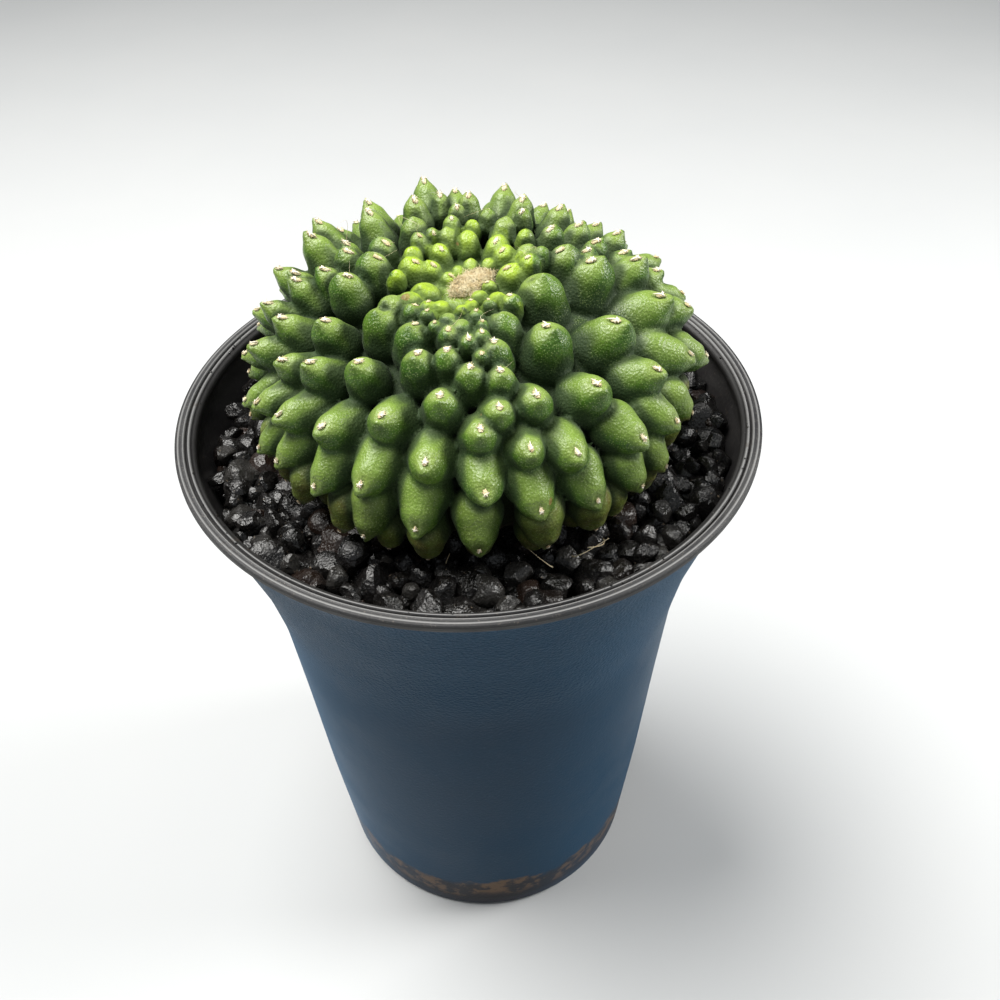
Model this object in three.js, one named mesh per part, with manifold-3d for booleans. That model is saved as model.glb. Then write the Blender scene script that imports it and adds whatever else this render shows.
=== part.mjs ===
// Potted gymnocalycium: a depressed globe of 27 tubercled ribs round a small woolly crown,
// growing in a 9 cm plastic pot that is filled with potting mix and dressed with black lava grit.
// Millimetres, +Z up, origin at the centre of the pot's foot. The viewer's side is -Y.
import * as THREE from 'three';
import { mergeVertices } from 'three/addons/utils/BufferGeometryUtils.js';
import Module from 'manifold-3d';

const wasm = await Module();
wasm.setup();

// Clearance that touching pieces keep
const gap = 0.3;

// Pot: outer radius at each height, a plain taper that flares like a bell under the rim
const potOutline = [
  [30.8, 1.0], [32.8, 27.6], [34.3, 55], [35.6, 75], [37.8, 88], [40.3, 97], [42.2, 103.7], [44.1, 108.3],
];
const potHeight = 110.3;
const rimRadius = 45;
const rimFlat = 1.4;
const wallThickness = 1.2;
const footRecess = 1.6;
const floorThickness = 1.5;
const potSides = 48;

// Drain slots through the pot floor, narrow enough to hold the mix back
const drainSlots = 8;
const drainSlotWidth = 3.2;
const drainSlotLength = 9;
const drainSlotMiddle = 19.5;

// Fill: potting mix with a bed of grit on it
const mixTop = 98.7;
const bedBottom = mixTop + gap;
const bedTop = 103.2;
const fillSides = 24;

// Plant body: its tubercle tips lie on a squared-off globe that leans a little toward the viewer
const plantCentre = new THREE.Vector3(0.5, -1, 117.8);
const plantLean = 0.1;
const tipRadius = 34;
const crownRise = 19.5;
const footDrop = 14.8;
const squareness = 2.4;
const crownDip = 3.6;
const crownDipRadius = 9;
const grooveDepth = 5;
const coreFlatness = 0.8;
const coreSink = 0.6;

// Each rib from the crown down, as tubercles: direction in degrees, distance over the surface from
// the crown's centre, width, and for some how far the tip stands proud of the globe
const ribs = [
  [[345, 10, 8, 0.5], [336, 23, 8.4], [331, 31.5, 6.4], [328, 39.5, 6], [324, 46.5, 5.2],
    [323, 53, 4.4]],
  [[8, 18.5, 8.4], [0, 29.5, 8.4], [351, 38.5, 7.2, -0.5], [343, 46, 5.4], [340, 52.5, 4.6]],
  [[17, 14.5, 6.2], [13, 26, 6.8, 0.5], [5, 36, 6.6, 0.5], [357, 42, 5.8, 1.5], [355, 51, 4.6]],
  [[16, 18.5, 4, -0.5], [19, 25.5, 5.4, -0.5], [17, 32.5, 5.6, -0.5], [14, 38, 5.2, 0.5],
    [9, 46.5, 5], [8, 53, 4.2]],
  [[20, 11, 3.2], [24, 21.5, 5, -0.5], [31, 27.5, 5.2], [26, 35.5, 5.2, 0.5], [26, 42, 5.2],
    [23, 50, 4.6]],
  [[36, 15.5, 4.4], [38, 22, 5.4, -0.5], [43, 29.5, 5.2, -1], [41, 38, 5.4], [39, 46, 5.2],
    [38, 53, 4.4]],
  [[43, 11.5, 3.2], [51, 23, 5.2], [56, 30.5, 5.2, -1], [55, 39, 5.6], [54, 47.5, 5]],
  [[58, 16, 3.2], [66, 21.5, 4.8], [65, 31.5, 4.8, -1], [69, 38.5, 5.6], [69, 47, 5.2],
    [69, 54, 4.4]],
  [[76, 13.5, 3.2], [77, 27, 5.4, 0.5], [82, 36, 5.6], [83, 44.5, 5.4], [83, 52.5, 4.6]],
  [[85, 10.5, 2.8], [89, 20, 4.2], [94, 30.5, 5.2], [97, 39.5, 5.6], [97, 48, 5]],
  [[95, 15, 3.2], [101, 21.5, 3.8], [104, 28, 5.4, 2], [111, 38, 5.8], [111, 47, 5.4],
    [111, 54, 4.4]],
  [[146, 8.5, 3.4], [123, 13.5, 5.4], [113, 20, 5, 0.5], [124, 28, 5.6, 1], [125, 35.5, 5.4],
    [125, 44, 5.4], [125, 52, 4.6]],
  [[118, 10, 2.6], [131, 22.5, 6, 0.5], [136, 29.5, 5, -1], [139, 38.5, 5.6], [140, 47.5, 5.2]],
  [[150, 13.5, 5.4], [148, 22, 4.4, -1.5], [144, 27.5, 5.4, 2], [153, 40, 5.6], [154, 48.5, 5]],
  [[162, 18, 5], [154, 25, 6.4, 2], [160, 32, 5.6, 0.5], [166, 42, 5.6], [168, 50.5, 4.8]],
  [[168, 13, 6.2, 0.5], [173, 20.5, 5.4], [169, 26, 5.4], [171, 36, 5.4], [179, 45, 5.4],
    [181, 53, 4.6]],
  [[184, 16.5, 6, 0.5], [176, 24.5, 5.8, 0.5], [180, 29.5, 5, 0.5], [184, 38.5, 5.2],
    [192, 47, 5.2], [193, 54, 4.2]],
  [[204, 21, 6.4], [190, 27, 6], [192, 32.5, 5.8, 0.5], [197, 41, 5.2], [203, 49.5, 4.8]],
  [[182, 9, 2.8], [206, 29, 5.6], [207, 36.5, 5.6], [209, 44, 5.2], [212, 51.5, 4.6]],
  [[218, 14, 6.6], [215, 26, 6.2], [217, 34.5, 6.4], [218, 42.5, 5.8], [222, 50, 4.8]],
  [[229, 10.5, 3.4], [230, 22, 6], [231, 32, 6.8], [232, 41.5, 6.6], [236, 50.5, 5.2]],
  [[240, 13.5, 6.2], [250, 18, 6], [246, 27.5, 6.8], [245, 37.5, 6.8], [245, 47, 6.2],
    [248, 53.5, 4.8]],
  [[262, 17, 4.8], [262, 23.5, 6], [260, 32.5, 6.6], [258, 43, 7], [259, 52.5, 5.4]],
  [[272, 19.5, 5.4], [274, 28, 5.6], [274, 36.5, 6.4], [272, 46.5, 6.4], [272, 54, 5.2]],
  [[284, 16, 5.6], [283, 20.5, 5.2], [280, 25.5, 5.4], [286, 31.5, 5.6], [286, 40.5, 6.4],
    [288, 49, 6.2], [287, 55, 4.8]],
  [[296, 10.5, 6.4], [292, 25, 6], [297, 34, 6.4], [300, 42.5, 6.8], [302, 51, 5.8]],
  [[312, 16.5, 8], [311, 27, 6.8], [315, 37, 6.4], [314, 45.5, 5.6], [310, 52.5, 4.6]],
];

// Above the grit the body leans down to, a rib ends at this height of its last tubercle's tip
const lowestChin = 107;

// Young tubercles round the wool, written the same way
const youngTubercles = [
  [10, 6.5, 4.6], [14, 9.5, 3.2], [27, 10, 3.4], [57, 8.5, 4], [42, 7.5, 3.6], [88, 8.5, 3.4],
  [62, 12.5, 3.6], [122, 7, 3.2], [161, 8, 4.4], [152, 5.5, 3.6], [204, 6, 4.8], [216, 9.5, 3.8],
  [214, 12.5, 4], [106, 9.5, 3.2], [100, 12, 2.8], [131, 10.5, 2.8], [245, 8, 3.2], [258, 11, 2.8],
  [268, 12.5, 3.2], [311, 6.5, 3], [315, 9, 3.2], [261, 14, 3.4], [272, 15.5, 2.8], [298, 4, 2.8],
  [159, 2.5, 2.8], [79, 3.5, 2.8],
];

// Egg shape of a tubercle: its length in half widths, the depth it needs to be rooted in the body,
// and its droop in radians, which grows between two distances from the crown
const tubercleSides = 6;
const eggLength = 1.95;
const rootDepth = 5.8;
const droopYoung = 0.3;
const droopOld = 0.5;
const youngUntil = 16;
const oldFrom = 42;

// Base of the body, set in the grit, and the root stock that the mix holds: radius at each height
const rootStock = [
  [22, 118], [26, 113], [25.5, 107], [23, 103.2], [17, 99.5], [12, 96], [7, 90], [3, 85], [0, 83],
];

// Grit stones on the bed, all round the plant
const stoneCount = 44;
const stoneRing = 38.2;
const stoneHalfSize = 2.05;

const finish = {
  pot: { color: 0x34465c, roughness: 0.5 },
  mix: { color: 0x3a2c22, roughness: 0.95 },
  bed: { color: 0x221f1e, roughness: 0.8 },
  plant: { color: 0x4b7a22, roughness: 0.5 },
  stone: { color: 0x3a3634, roughness: 0.55 },
};

const model = new THREE.Group();

function addPiece(name, geometry, look) {
  const plain = geometry.index ? geometry.toNonIndexed() : geometry;
  plain.computeVertexNormals();
  const mesh = new THREE.Mesh(plain, new THREE.MeshStandardMaterial({ ...look, metalness: 0 }));
  mesh.name = name;
  model.add(mesh);
  return mesh;
}

// Solids and booleans

function toSolid(geometry) {
  const bare = geometry.clone();
  bare.deleteAttribute('normal');
  bare.deleteAttribute('uv');
  const merged = mergeVertices(bare, 1e-4);
  const vertProperties = new Float32Array(merged.attributes.position.array);
  const triVerts = new Uint32Array(merged.index.array);
  return new wasm.Manifold(new wasm.Mesh({ numProp: 3, vertProperties, triVerts }));
}

function toGeometry(solid) {
  const mesh = solid.getMesh();
  const geometry = new THREE.BufferGeometry();
  geometry.setAttribute('position', new THREE.BufferAttribute(new Float32Array(mesh.vertProperties), 3));
  geometry.setIndex(new THREE.BufferAttribute(new Uint32Array(mesh.triVerts), 1));
  return geometry;
}

// A lathe turns about its own +Y, so it is stood up to turn about +Z
function turned(points, sides) {
  const outline = points.map(([radius, height]) => new THREE.Vector2(radius, height));
  return new THREE.LatheGeometry(outline, sides).rotateX(Math.PI / 2);
}

// Radius of an outline at one height, straight between its points
function radiusAt(outline, height) {
  const above = outline.findIndex((point) => point[1] >= height);
  const upper = Math.max(above, 1);
  const [r0, z0] = outline[upper - 1];
  const [r1, z1] = outline[upper];
  return r0 + ((r1 - r0) * (height - z0)) / (z1 - z0);
}

const floorTop = footRecess + floorThickness;

// The root stock runs downward, so its heights are negated for the lookup
const rootDown = rootStock.map(([radius, height]) => [radius, -height]);

function wallInside(height) {
  return radiusAt(potOutline, height) - wallThickness;
}

// Pot

function makePot() {
  const foot = [[0, footRecess], [27.4, footRecess], [27.9, 0], [30.4, 0]];
  const lip = [
    [rimRadius, 109.1],
    [rimRadius, potHeight - 0.15],
    [rimRadius - 0.15, potHeight],
    [rimRadius - rimFlat, potHeight],
    [rimRadius - rimFlat - 0.1, potHeight - 0.5],
    [rimRadius - rimFlat - 0.4, potHeight - 0.5],
    [rimRadius - rimFlat - 0.5, potHeight - 0.15],
    [rimRadius - 3.0, potHeight - 1.1],
    [rimRadius - 3.1, potHeight - 1.6],
    [rimRadius - 2.7, potHeight - 2.2],
  ];
  const inside = potOutline
    .slice(1, -1)
    .reverse()
    .map(([radius, height]) => [radius - wallThickness, height]);
  const inFloor = [[wallInside(floorTop), floorTop], [0, floorTop]];
  let pot = toSolid(turned([...foot, ...potOutline, ...lip, ...inside, ...inFloor], potSides));
  for (let i = 0; i < drainSlots; i += 1) {
    const slot = new THREE.BoxGeometry(drainSlotLength, drainSlotWidth, 3 * floorThickness);
    slot.translate(drainSlotMiddle, 0, footRecess + floorThickness / 2);
    slot.rotateZ(((i + 0.5) / drainSlots) * 2 * Math.PI);
    pot = pot.subtract(toSolid(slot));
  }
  addPiece('pot', toGeometry(pot), finish.pot);
}

// Potting mix, with the socket that the root stock fills

function makePottingMix() {
  const side = potOutline
    .filter(([, height]) => height > floorTop + gap && height < mixTop)
    .map(([radius, height]) => [radius - wallThickness - gap, height]);
  const bottom = [[0, floorTop + gap], [wallInside(floorTop) - gap, floorTop + gap]];
  const top = [[wallInside(mixTop) - gap, mixTop], [radiusAt(rootDown, -mixTop) + gap, mixTop]];
  const socket = rootStock
    .filter(([, height]) => height < mixTop)
    .map(([radius, height]) => [radius > 0 ? radius + gap : 0, height - gap]);
  addPiece('potting_mix', turned([...bottom, ...side, ...top, ...socket], fillSides), finish.mix);
}

// Bed of grit, a ring round the root stock

function makeGritBed() {
  const outline = [
    [radiusAt(rootDown, -bedBottom) + gap, bedBottom],
    [wallInside(bedBottom) - gap, bedBottom],
    [wallInside(bedTop) - gap, bedTop],
    [radiusAt(rootDown, -bedTop) + gap, bedTop],
  ];
  addPiece('grit_bed', turned([...outline, outline[0]], fillSides), finish.bed);
}

// Plant

// Height of the tip surface above the body's centre at one radius, upper or lower side
function tipSurface(radius, upper) {
  const bulge = (1 - Math.min(radius / tipRadius, 1) ** squareness) ** (1 / squareness);
  if (!upper) return -footDrop * bulge;
  return crownRise * bulge - crownDip * Math.exp(-((radius / crownDipRadius) ** 2));
}

// The meridian as points with their distance over the surface from the crown
function walkMeridian() {
  const steps = 1200;
  const points = [];
  let length = 0;
  for (let i = 0; i <= steps; i += 1) {
    const angle = Math.PI * (0.5 - i / steps);
    const radius = tipRadius * Math.abs(Math.cos(angle)) ** (2 / squareness);
    const height = tipSurface(radius, angle > 0);
    if (i > 0) length += Math.hypot(radius - points[i - 1].radius, height - points[i - 1].height);
    points.push({ radius, height, length });
  }
  return points;
}

const meridian = walkMeridian();

// Point, outward normal and downhill direction on the meridian at a distance from the crown
function meridianAt(distance) {
  const i = Math.max(2, meridian.findIndex((point) => point.length >= distance));
  const [before, after] = [meridian[i - 2], meridian[i]];
  const down = new THREE.Vector2(after.radius - before.radius, after.height - before.height).normalize();
  const out = new THREE.Vector2(-down.y, down.x);
  return { radius: meridian[i].radius, height: meridian[i].height, down, out };
}

// One egg-shaped tubercle with its chin on the tip surface, drooping a little downhill
function tubercle([azimuthDegrees, distance, width, proud = 0]) {
  const halfWidth = width / 2;
  const ageing = THREE.MathUtils.smoothstep(distance, youngUntil, oldFrom);
  const droop = droopYoung + (droopOld - droopYoung) * ageing;
  const length = Math.max(eggLength * halfWidth, rootDepth + proud);
  const profile = [[0, -0.1], [1, 0.42], [0.3, 0.94], [0, 1]];
  const egg = turned(profile.map(([r, t]) => [r * halfWidth, (t - 1) * length]), tubercleSides);
  const spot = meridianAt(distance + 0.2 * halfWidth);
  const azimuth = THREE.MathUtils.degToRad(azimuthDegrees);
  const lift = (radial, height) =>
    new THREE.Vector3(radial * Math.cos(azimuth), radial * Math.sin(azimuth), height);
  const axis = lift(
    spot.out.x * Math.cos(droop) + spot.down.x * Math.sin(droop),
    spot.out.y * Math.cos(droop) + spot.down.y * Math.sin(droop),
  );
  const turn = new THREE.Quaternion().setFromUnitVectors(new THREE.Vector3(0, 0, 1), axis);
  const place = new THREE.Matrix4().compose(
    lift(spot.radius + spot.out.x * proud, spot.height + spot.out.y * proud),
    turn,
    new THREE.Vector3(1, 1, 1),
  );
  return toSolid(egg.applyMatrix4(place));
}

// Height above the pot's foot of the leaning body's tip surface
function chinHeight(azimuthDegrees, distance) {
  const { radius, height } = meridianAt(distance);
  const forward = radius * Math.sin(THREE.MathUtils.degToRad(azimuthDegrees));
  return plantCentre.z + forward * Math.sin(plantLean) + height * Math.cos(plantLean);
}

function makePlant() {
  const coreRadius = tipRadius - grooveDepth;
  const core = [];
  const rows = 10;
  for (let i = 0; i <= rows; i += 1) {
    const angle = Math.PI * (i / rows - 0.5);
    const radius = i % rows === 0 ? 0 : coreRadius * Math.cos(angle) ** (2 / squareness);
    const height = tipSurface((radius * tipRadius) / coreRadius, angle > 0);
    core.push([radius, height * coreFlatness - coreSink]);
  }
  let plant = toSolid(turned(core, fillSides));
  for (const place of [...ribs.flat(), ...youngTubercles]) {
    if (chinHeight(place[0], place[1]) > lowestChin) plant = plant.add(tubercle(place));
  }
  const leaning = toGeometry(plant).rotateX(plantLean);
  leaning.translate(plantCentre.x, plantCentre.y, plantCentre.z);
  const root = turned([[0, rootStock[0][1]], ...rootStock].reverse(), fillSides);
  // The flesh is solid: of the union's closed surfaces only the outer one stays
  const surfaces = toSolid(leaning).add(toSolid(root)).decompose();
  surfaces.sort((a, b) => b.volume() - a.volume());
  addPiece('cactus_body', toGeometry(surfaces[0]), finish.plant);
}

// Grit stones: small angular lumps that lie side by side on the bed

function seededRandom(seed) {
  let state = seed;
  return () => {
    state = (state * 1664525 + 1013904223) % 4294967296;
    return state / 4294967296;
  };
}

const random = seededRandom(11);

function makeStone(index) {
  const round = new THREE.IcosahedronGeometry(1, 0);
  round.deleteAttribute('normal');
  round.deleteAttribute('uv');
  const lump = mergeVertices(round, 1e-4);
  const position = lump.attributes.position;
  for (let i = 0; i < position.count; i += 1) {
    const swell = 0.86 + 0.24 * random();
    position.setXYZ(i, position.getX(i) * swell, position.getY(i) * swell, position.getZ(i) * swell);
  }
  const size = stoneHalfSize * (0.82 + 0.26 * random());
  lump.scale(size * (0.95 + 0.2 * random()), size * (0.85 + 0.15 * random()), size * 0.8);
  lump.rotateX((random() - 0.5) * 0.7);
  lump.rotateZ(random() * Math.PI);
  lump.computeBoundingBox();
  const angle = (index / stoneCount) * 2 * Math.PI;
  const ring = stoneRing + (index % 2 === 0 ? -0.35 : 0.35);
  const seat = bedTop + gap - lump.boundingBox.min.z;
  lump.translate(ring * Math.cos(angle), ring * Math.sin(angle), seat);
  addPiece(`grit_stone_${String(index + 1).padStart(2, '0')}`, lump, finish.stone);
}

makePot();
makePottingMix();
makeGritBed();
makePlant();
for (let i = 0; i < stoneCount; i += 1) makeStone(i);

export default model;
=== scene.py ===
# Looks of the potted gymnocalycium: skin, wool and spines of the plant, the lava grit and the pot.
# Lengths in this script are millimetres until a mesh is made. The viewer's side is -Y.
import math

import bpy
import numpy as np
from mathutils import Euler, Matrix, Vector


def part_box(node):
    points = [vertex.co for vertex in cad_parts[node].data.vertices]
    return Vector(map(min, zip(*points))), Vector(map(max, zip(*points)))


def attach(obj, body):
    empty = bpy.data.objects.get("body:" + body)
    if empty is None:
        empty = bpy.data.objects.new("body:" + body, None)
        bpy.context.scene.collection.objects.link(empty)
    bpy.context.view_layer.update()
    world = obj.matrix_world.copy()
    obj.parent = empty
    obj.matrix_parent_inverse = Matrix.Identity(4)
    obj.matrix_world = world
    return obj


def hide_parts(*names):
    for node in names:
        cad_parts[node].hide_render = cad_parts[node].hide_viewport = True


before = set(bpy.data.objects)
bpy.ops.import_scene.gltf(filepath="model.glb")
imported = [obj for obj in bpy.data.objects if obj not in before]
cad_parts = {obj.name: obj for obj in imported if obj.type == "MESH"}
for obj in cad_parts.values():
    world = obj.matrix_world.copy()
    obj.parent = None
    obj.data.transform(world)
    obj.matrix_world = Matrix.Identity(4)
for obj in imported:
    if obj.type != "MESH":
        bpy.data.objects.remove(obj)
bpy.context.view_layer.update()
MM = 0.001

# Plant body: tubercle tips lie on a squared-off globe that leans toward the viewer
PLANT_CENTRE = np.array([0.5, -1.0, 117.8])
PLANT_LEAN = 0.1
TIP_RADIUS = 34.0
CROWN_RISE = 19.5
FOOT_DROP = 14.8
SQUARENESS = 2.4
CROWN_DIP = 3.6
CROWN_DIP_RADIUS = 9.0
LOWEST_CHIN = 104.2
CORE_RADIUS = 26.0
CORE_RISE = 12.3
CORE_DROP = 10.8
# Distances to the core are scaled by this, so they never run ahead of the true distance
CORE_FLATNESS = 0.8
APEX_RADIUS = 11.5
APEX_LEVEL = 9.0
APEX_HALF_HEIGHT = 6.0

# Each rib from the crown down, as areoles: direction in degrees, distance over the surface from the
# crown's centre and width. A fourth number is how far the tip stands proud of the globe.
RIBS = [
    [(345, 10, 8, 0.5), (336, 23, 8.4), (331, 31.5, 6.4), (328, 39.5, 6), (324, 46.5, 5.2),
     (323, 53, 4.4)],
    [(8, 18.5, 8.4), (0, 29.5, 8.4), (351, 38.5, 7.2, -0.5), (343, 46, 5.4), (340, 52.5, 4.6)],
    [(17, 14.5, 6.2), (13, 26, 6.8, 0.5), (5, 36, 6.6, 0.5), (357, 42, 5.8, 1.5), (355, 51, 4.6)],
    [(16, 18.5, 4, -0.5), (19, 25.5, 5.4, -0.5), (17, 32.5, 5.6, -0.5), (14, 38, 5.2, 0.5), (9, 46.5, 5),
     (8, 53, 4.2)],
    [(20, 11, 3.2), (24, 21.5, 5, -0.5), (31, 27.5, 5.2), (26, 35.5, 5.2, 0.5), (26, 42, 5.2),
     (23, 50, 4.6)],
    [(36, 15.5, 4.4), (38, 22, 5.4, -0.5), (43, 29.5, 5.2, -1), (41, 38, 5.4), (39, 46, 5.2),
     (38, 53, 4.4)],
    [(43, 11.5, 3.2), (51, 23, 5.2), (56, 30.5, 5.2, -1), (55, 39, 5.6), (54, 47.5, 5)],
    [(58, 16, 3.2), (66, 21.5, 4.8), (65, 31.5, 4.8, -1), (69, 38.5, 5.6), (69, 47, 5.2), (69, 54, 4.4)],
    [(76, 13.5, 3.2), (77, 27, 5.4, 0.5), (82, 36, 5.6), (83, 44.5, 5.4), (83, 52.5, 4.6)],
    [(85, 10.5, 2.8), (89, 20, 4.2), (94, 30.5, 5.2), (97, 39.5, 5.6), (97, 48, 5)],
    [(95, 15, 3.2), (101, 21.5, 3.8), (104, 28, 5.4, 2), (111, 38, 5.8), (111, 47, 5.4), (111, 54, 4.4)],
    [(146, 8.5, 3.4), (123, 13.5, 5.4), (113, 20, 5, 0.5), (124, 28, 5.6, 1), (125, 35.5, 5.4),
     (125, 44, 5.4), (125, 52, 4.6)],
    [(118, 10, 2.6), (131, 22.5, 6, 0.5), (136, 29.5, 5, -1), (139, 38.5, 5.6), (140, 47.5, 5.2)],
    [(150, 13.5, 5.4), (148, 22, 4.4, -1.5), (144, 27.5, 5.4, 2), (153, 40, 5.6), (154, 48.5, 5)],
    [(162, 18, 5), (154, 25, 6.4, 2), (160, 32, 5.6, 0.5), (166, 42, 5.6), (168, 50.5, 4.8)],
    [(168, 13, 6.2, 0.5), (173, 20.5, 5.4), (169, 26, 5.4), (171, 36, 5.4), (179, 45, 5.4),
     (181, 53, 4.6)],
    [(184, 16.5, 6, 0.5), (176, 24.5, 5.8, 0.5), (180, 29.5, 5, 0.5), (184, 38.5, 5.2), (192, 47, 5.2),
     (193, 54, 4.2)],
    [(204, 21, 6.4), (190, 27, 6), (192, 32.5, 5.8, 0.5), (197, 41, 5.2), (203, 49.5, 4.8)],
    [(182, 9, 2.8), (206, 29, 5.6), (207, 36.5, 5.6), (209, 44, 5.2), (212, 51.5, 4.6)],
    [(218, 14, 6.6), (215, 26, 6.2), (217, 34.5, 6.4), (218, 42.5, 5.8), (222, 50, 4.8)],
    [(229, 10.5, 3.4), (230, 22, 6), (231, 32, 6.8), (232, 41.5, 6.6), (236, 50.5, 5.2)],
    [(240, 13.5, 6.2), (250, 18, 6), (246, 27.5, 6.8), (245, 37.5, 6.8), (245, 47, 6.2),
     (248, 53.5, 4.8)],
    [(262, 17, 4.8), (262, 23.5, 6), (260, 32.5, 6.6), (258, 43, 7), (259, 52.5, 5.4)],
    [(272, 19.5, 5.4), (274, 28, 5.6), (274, 36.5, 6.4), (272, 46.5, 6.4), (272, 54, 5.2)],
    [(284, 16, 5.6), (283, 20.5, 5.2), (280, 25.5, 5.4), (286, 31.5, 5.6), (286, 40.5, 6.4),
     (288, 49, 6.2), (287, 55, 4.8)],
    [(296, 10.5, 6.4), (292, 25, 6), (297, 34, 6.4), (300, 42.5, 6.8), (302, 51, 5.8)],
    [(312, 16.5, 8), (311, 27, 6.8), (315, 37, 6.4), (314, 45.5, 5.6), (310, 52.5, 4.6)],
]

# Young tubercles round the wool, written the same way
YOUNG = [
    (10, 6.5, 4.6), (14, 9.5, 3.2), (27, 10, 3.4), (57, 8.5, 4), (42, 7.5, 3.6), (88, 8.5, 3.4),
    (62, 12.5, 3.6), (122, 7, 3.2), (161, 8, 4.4), (152, 5.5, 3.6), (204, 6, 4.8), (216, 9.5, 3.8),
    (214, 12.5, 4), (106, 9.5, 3.2), (100, 12, 2.8), (131, 10.5, 2.8), (245, 8, 3.2), (258, 11, 2.8),
    (268, 12.5, 3.2), (279, 10, 2.4), (311, 6.5, 3), (296, 7.5, 2.2), (315, 9, 3.2), (261, 14, 3.4),
    (272, 15.5, 2.8), (281, 12.5, 1.6), (279, 14.5, 2.4), (235, 9, 2.4), (242, 11, 2), (252, 13, 2),
    (277, 18, 2), (298, 4, 2.8), (277, 6.5, 2.4), (159, 2.5, 2.8), (79, 3.5, 2.8), (337, 3.5, 2.2),
    (114, 2.5, 2.4), (46, 4.5, 2.4), (267, 8, 2.2),
]

# A last row under each rib, hidden in the picture: how much farther down it sits and how much slimmer
LOWEST_ROW_STEP = 6.5
LOWEST_ROW_SLIMMER = 0.3
# The marked widths are a little short of the full ones, most of all those of the young tubercles
GROWN_SWELL = 0.11
YOUNG_SWELL = 1.16
# Grown tubercles stick out the most toward this direction, like short horns
HORN_DIRECTION = math.radians(140)
MERIDIAN_STEPS = 1201
MERIDIAN_STRIDE = 0.3

# Width in millimetres over which neighbouring shapes melt into each other
CHIN_BLEND = 0.4
ROOT_BLEND = 0.3
RIB_BLEND = 0.55
GROOVE_BLEND = 0.22
APEX_BLEND = 1.5
STOCK_BLEND = 2.0
PIT_BLEND = 0.45

# Base of the body where it meets the grit: radius at each height
STOCK_HEIGHTS = (98.0, 103.2, 107.0, 113.0, 118.0)
STOCK_RADII = (15.0, 22.5, 25.0, 25.6, 22.0)
FOLD_DEPTH = 0.4

# Camera, from the rim's ellipse in the picture
CAMERA_PLACE = (4.517, -123.308, 207.350)
CAMERA_PITCH = 0.7669
CAMERA_ROLL = -0.0237
CAMERA_LENS = 36.0
CAMERA_SENSOR = 36.0
CAMERA_CLIP = (0.005, 10.0)


# Small tools

def random_source(seed):
    return np.random.default_rng(seed)


def smoothstep(value, low, high):
    t = np.clip((np.asarray(value, float) - low) / (high - low), 0, 1)
    return t * t * (3 - 2 * t)


def ease(value, low, high):
    """smoothstep for one number."""
    return float(smoothstep(value, low, high))


def smooth_min(a, b, blend):
    near = np.maximum(blend - np.abs(a - b), 0) / blend
    return np.minimum(a, b) - near * near * blend / 4


def unit(vectors):
    return vectors / np.maximum(np.linalg.norm(vectors, axis=-1, keepdims=True), 1e-9)


def make_object(name, points, faces, materials, smooth=True):
    """A mesh object from points in millimetres and faces that all have the same number of corners."""
    mesh = bpy.data.meshes.new(name)
    count, corners = faces.shape
    mesh.vertices.add(len(points))
    mesh.vertices.foreach_set("co", (np.asarray(points) * MM).ravel())
    mesh.loops.add(count * corners)
    mesh.loops.foreach_set("vertex_index", faces.ravel())
    mesh.polygons.add(count)
    mesh.polygons.foreach_set("loop_start", np.arange(0, count * corners, corners))
    mesh.polygons.foreach_set("use_smooth", np.full(count, smooth))
    mesh.update(calc_edges=True)
    mesh.validate()
    for material in materials:
        mesh.materials.append(material)
    made = bpy.data.objects.new(name, mesh)
    bpy.context.scene.collection.objects.link(made)
    return made


def set_values(piece, name, values):
    """Stores one number per point of the mesh, for the materials to read."""
    layer = piece.data.attributes.new(name, "FLOAT", "POINT")
    layer.data.foreach_set("value", np.asarray(values, dtype=np.float32))


def join_meshes(parts):
    """Joins (points, faces) pairs with equal face sizes into one pair."""
    offsets = np.cumsum([0] + [len(points) for points, _ in parts[:-1]])
    points = np.concatenate([points for points, _ in parts])
    faces = np.concatenate([faces + start for (_, faces), start in zip(parts, offsets)])
    return points, faces


def ring_quads(row, segments):
    """Quads from one ring of points to the next."""
    near = np.arange(segments)
    far = (near + 1) % segments
    a, b = row * segments + near, row * segments + far
    return np.stack([a, b, b + segments, a + segments], 1)


# Plant layout

def lean_out(local):
    """From the leaning body's own axes to the part's axes."""
    c, s = math.cos(PLANT_LEAN), math.sin(PLANT_LEAN)
    x, y, z = np.moveaxis(np.asarray(local, float), -1, 0)
    return np.stack([x, c * y - s * z, s * y + c * z], -1)


def lean_in(vectors):
    c, s = math.cos(PLANT_LEAN), math.sin(PLANT_LEAN)
    x, y, z = np.moveaxis(np.asarray(vectors, float), -1, 0)
    return np.stack([x, c * y + s * z, -s * y + c * z], -1)


def tip_height(radius, upper):
    """Height of the globe the tips lie on, with the crown's dip."""
    bulge = (1 - np.clip(radius / TIP_RADIUS, 0, 1) ** SQUARENESS) ** (1 / SQUARENESS)
    dip = CROWN_DIP * np.exp(-((radius / CROWN_DIP_RADIUS) ** 2))
    return np.where(upper, CROWN_RISE * bulge - dip, -FOOT_DROP * bulge)


def walk_meridian():
    """Radius and height at fine steps from the crown to the foot, and the length walked to each."""
    angle = np.pi * (0.5 - np.linspace(0, 1, MERIDIAN_STEPS))
    radius = TIP_RADIUS * np.abs(np.cos(angle)) ** (2 / SQUARENESS)
    height = tip_height(radius, angle > 0)
    length = np.concatenate([[0], np.cumsum(np.hypot(np.diff(radius), np.diff(height)))])
    return radius, height, length


MERIDIAN_RADIUS, MERIDIAN_HEIGHT, MERIDIAN_LENGTH = walk_meridian()


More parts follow.
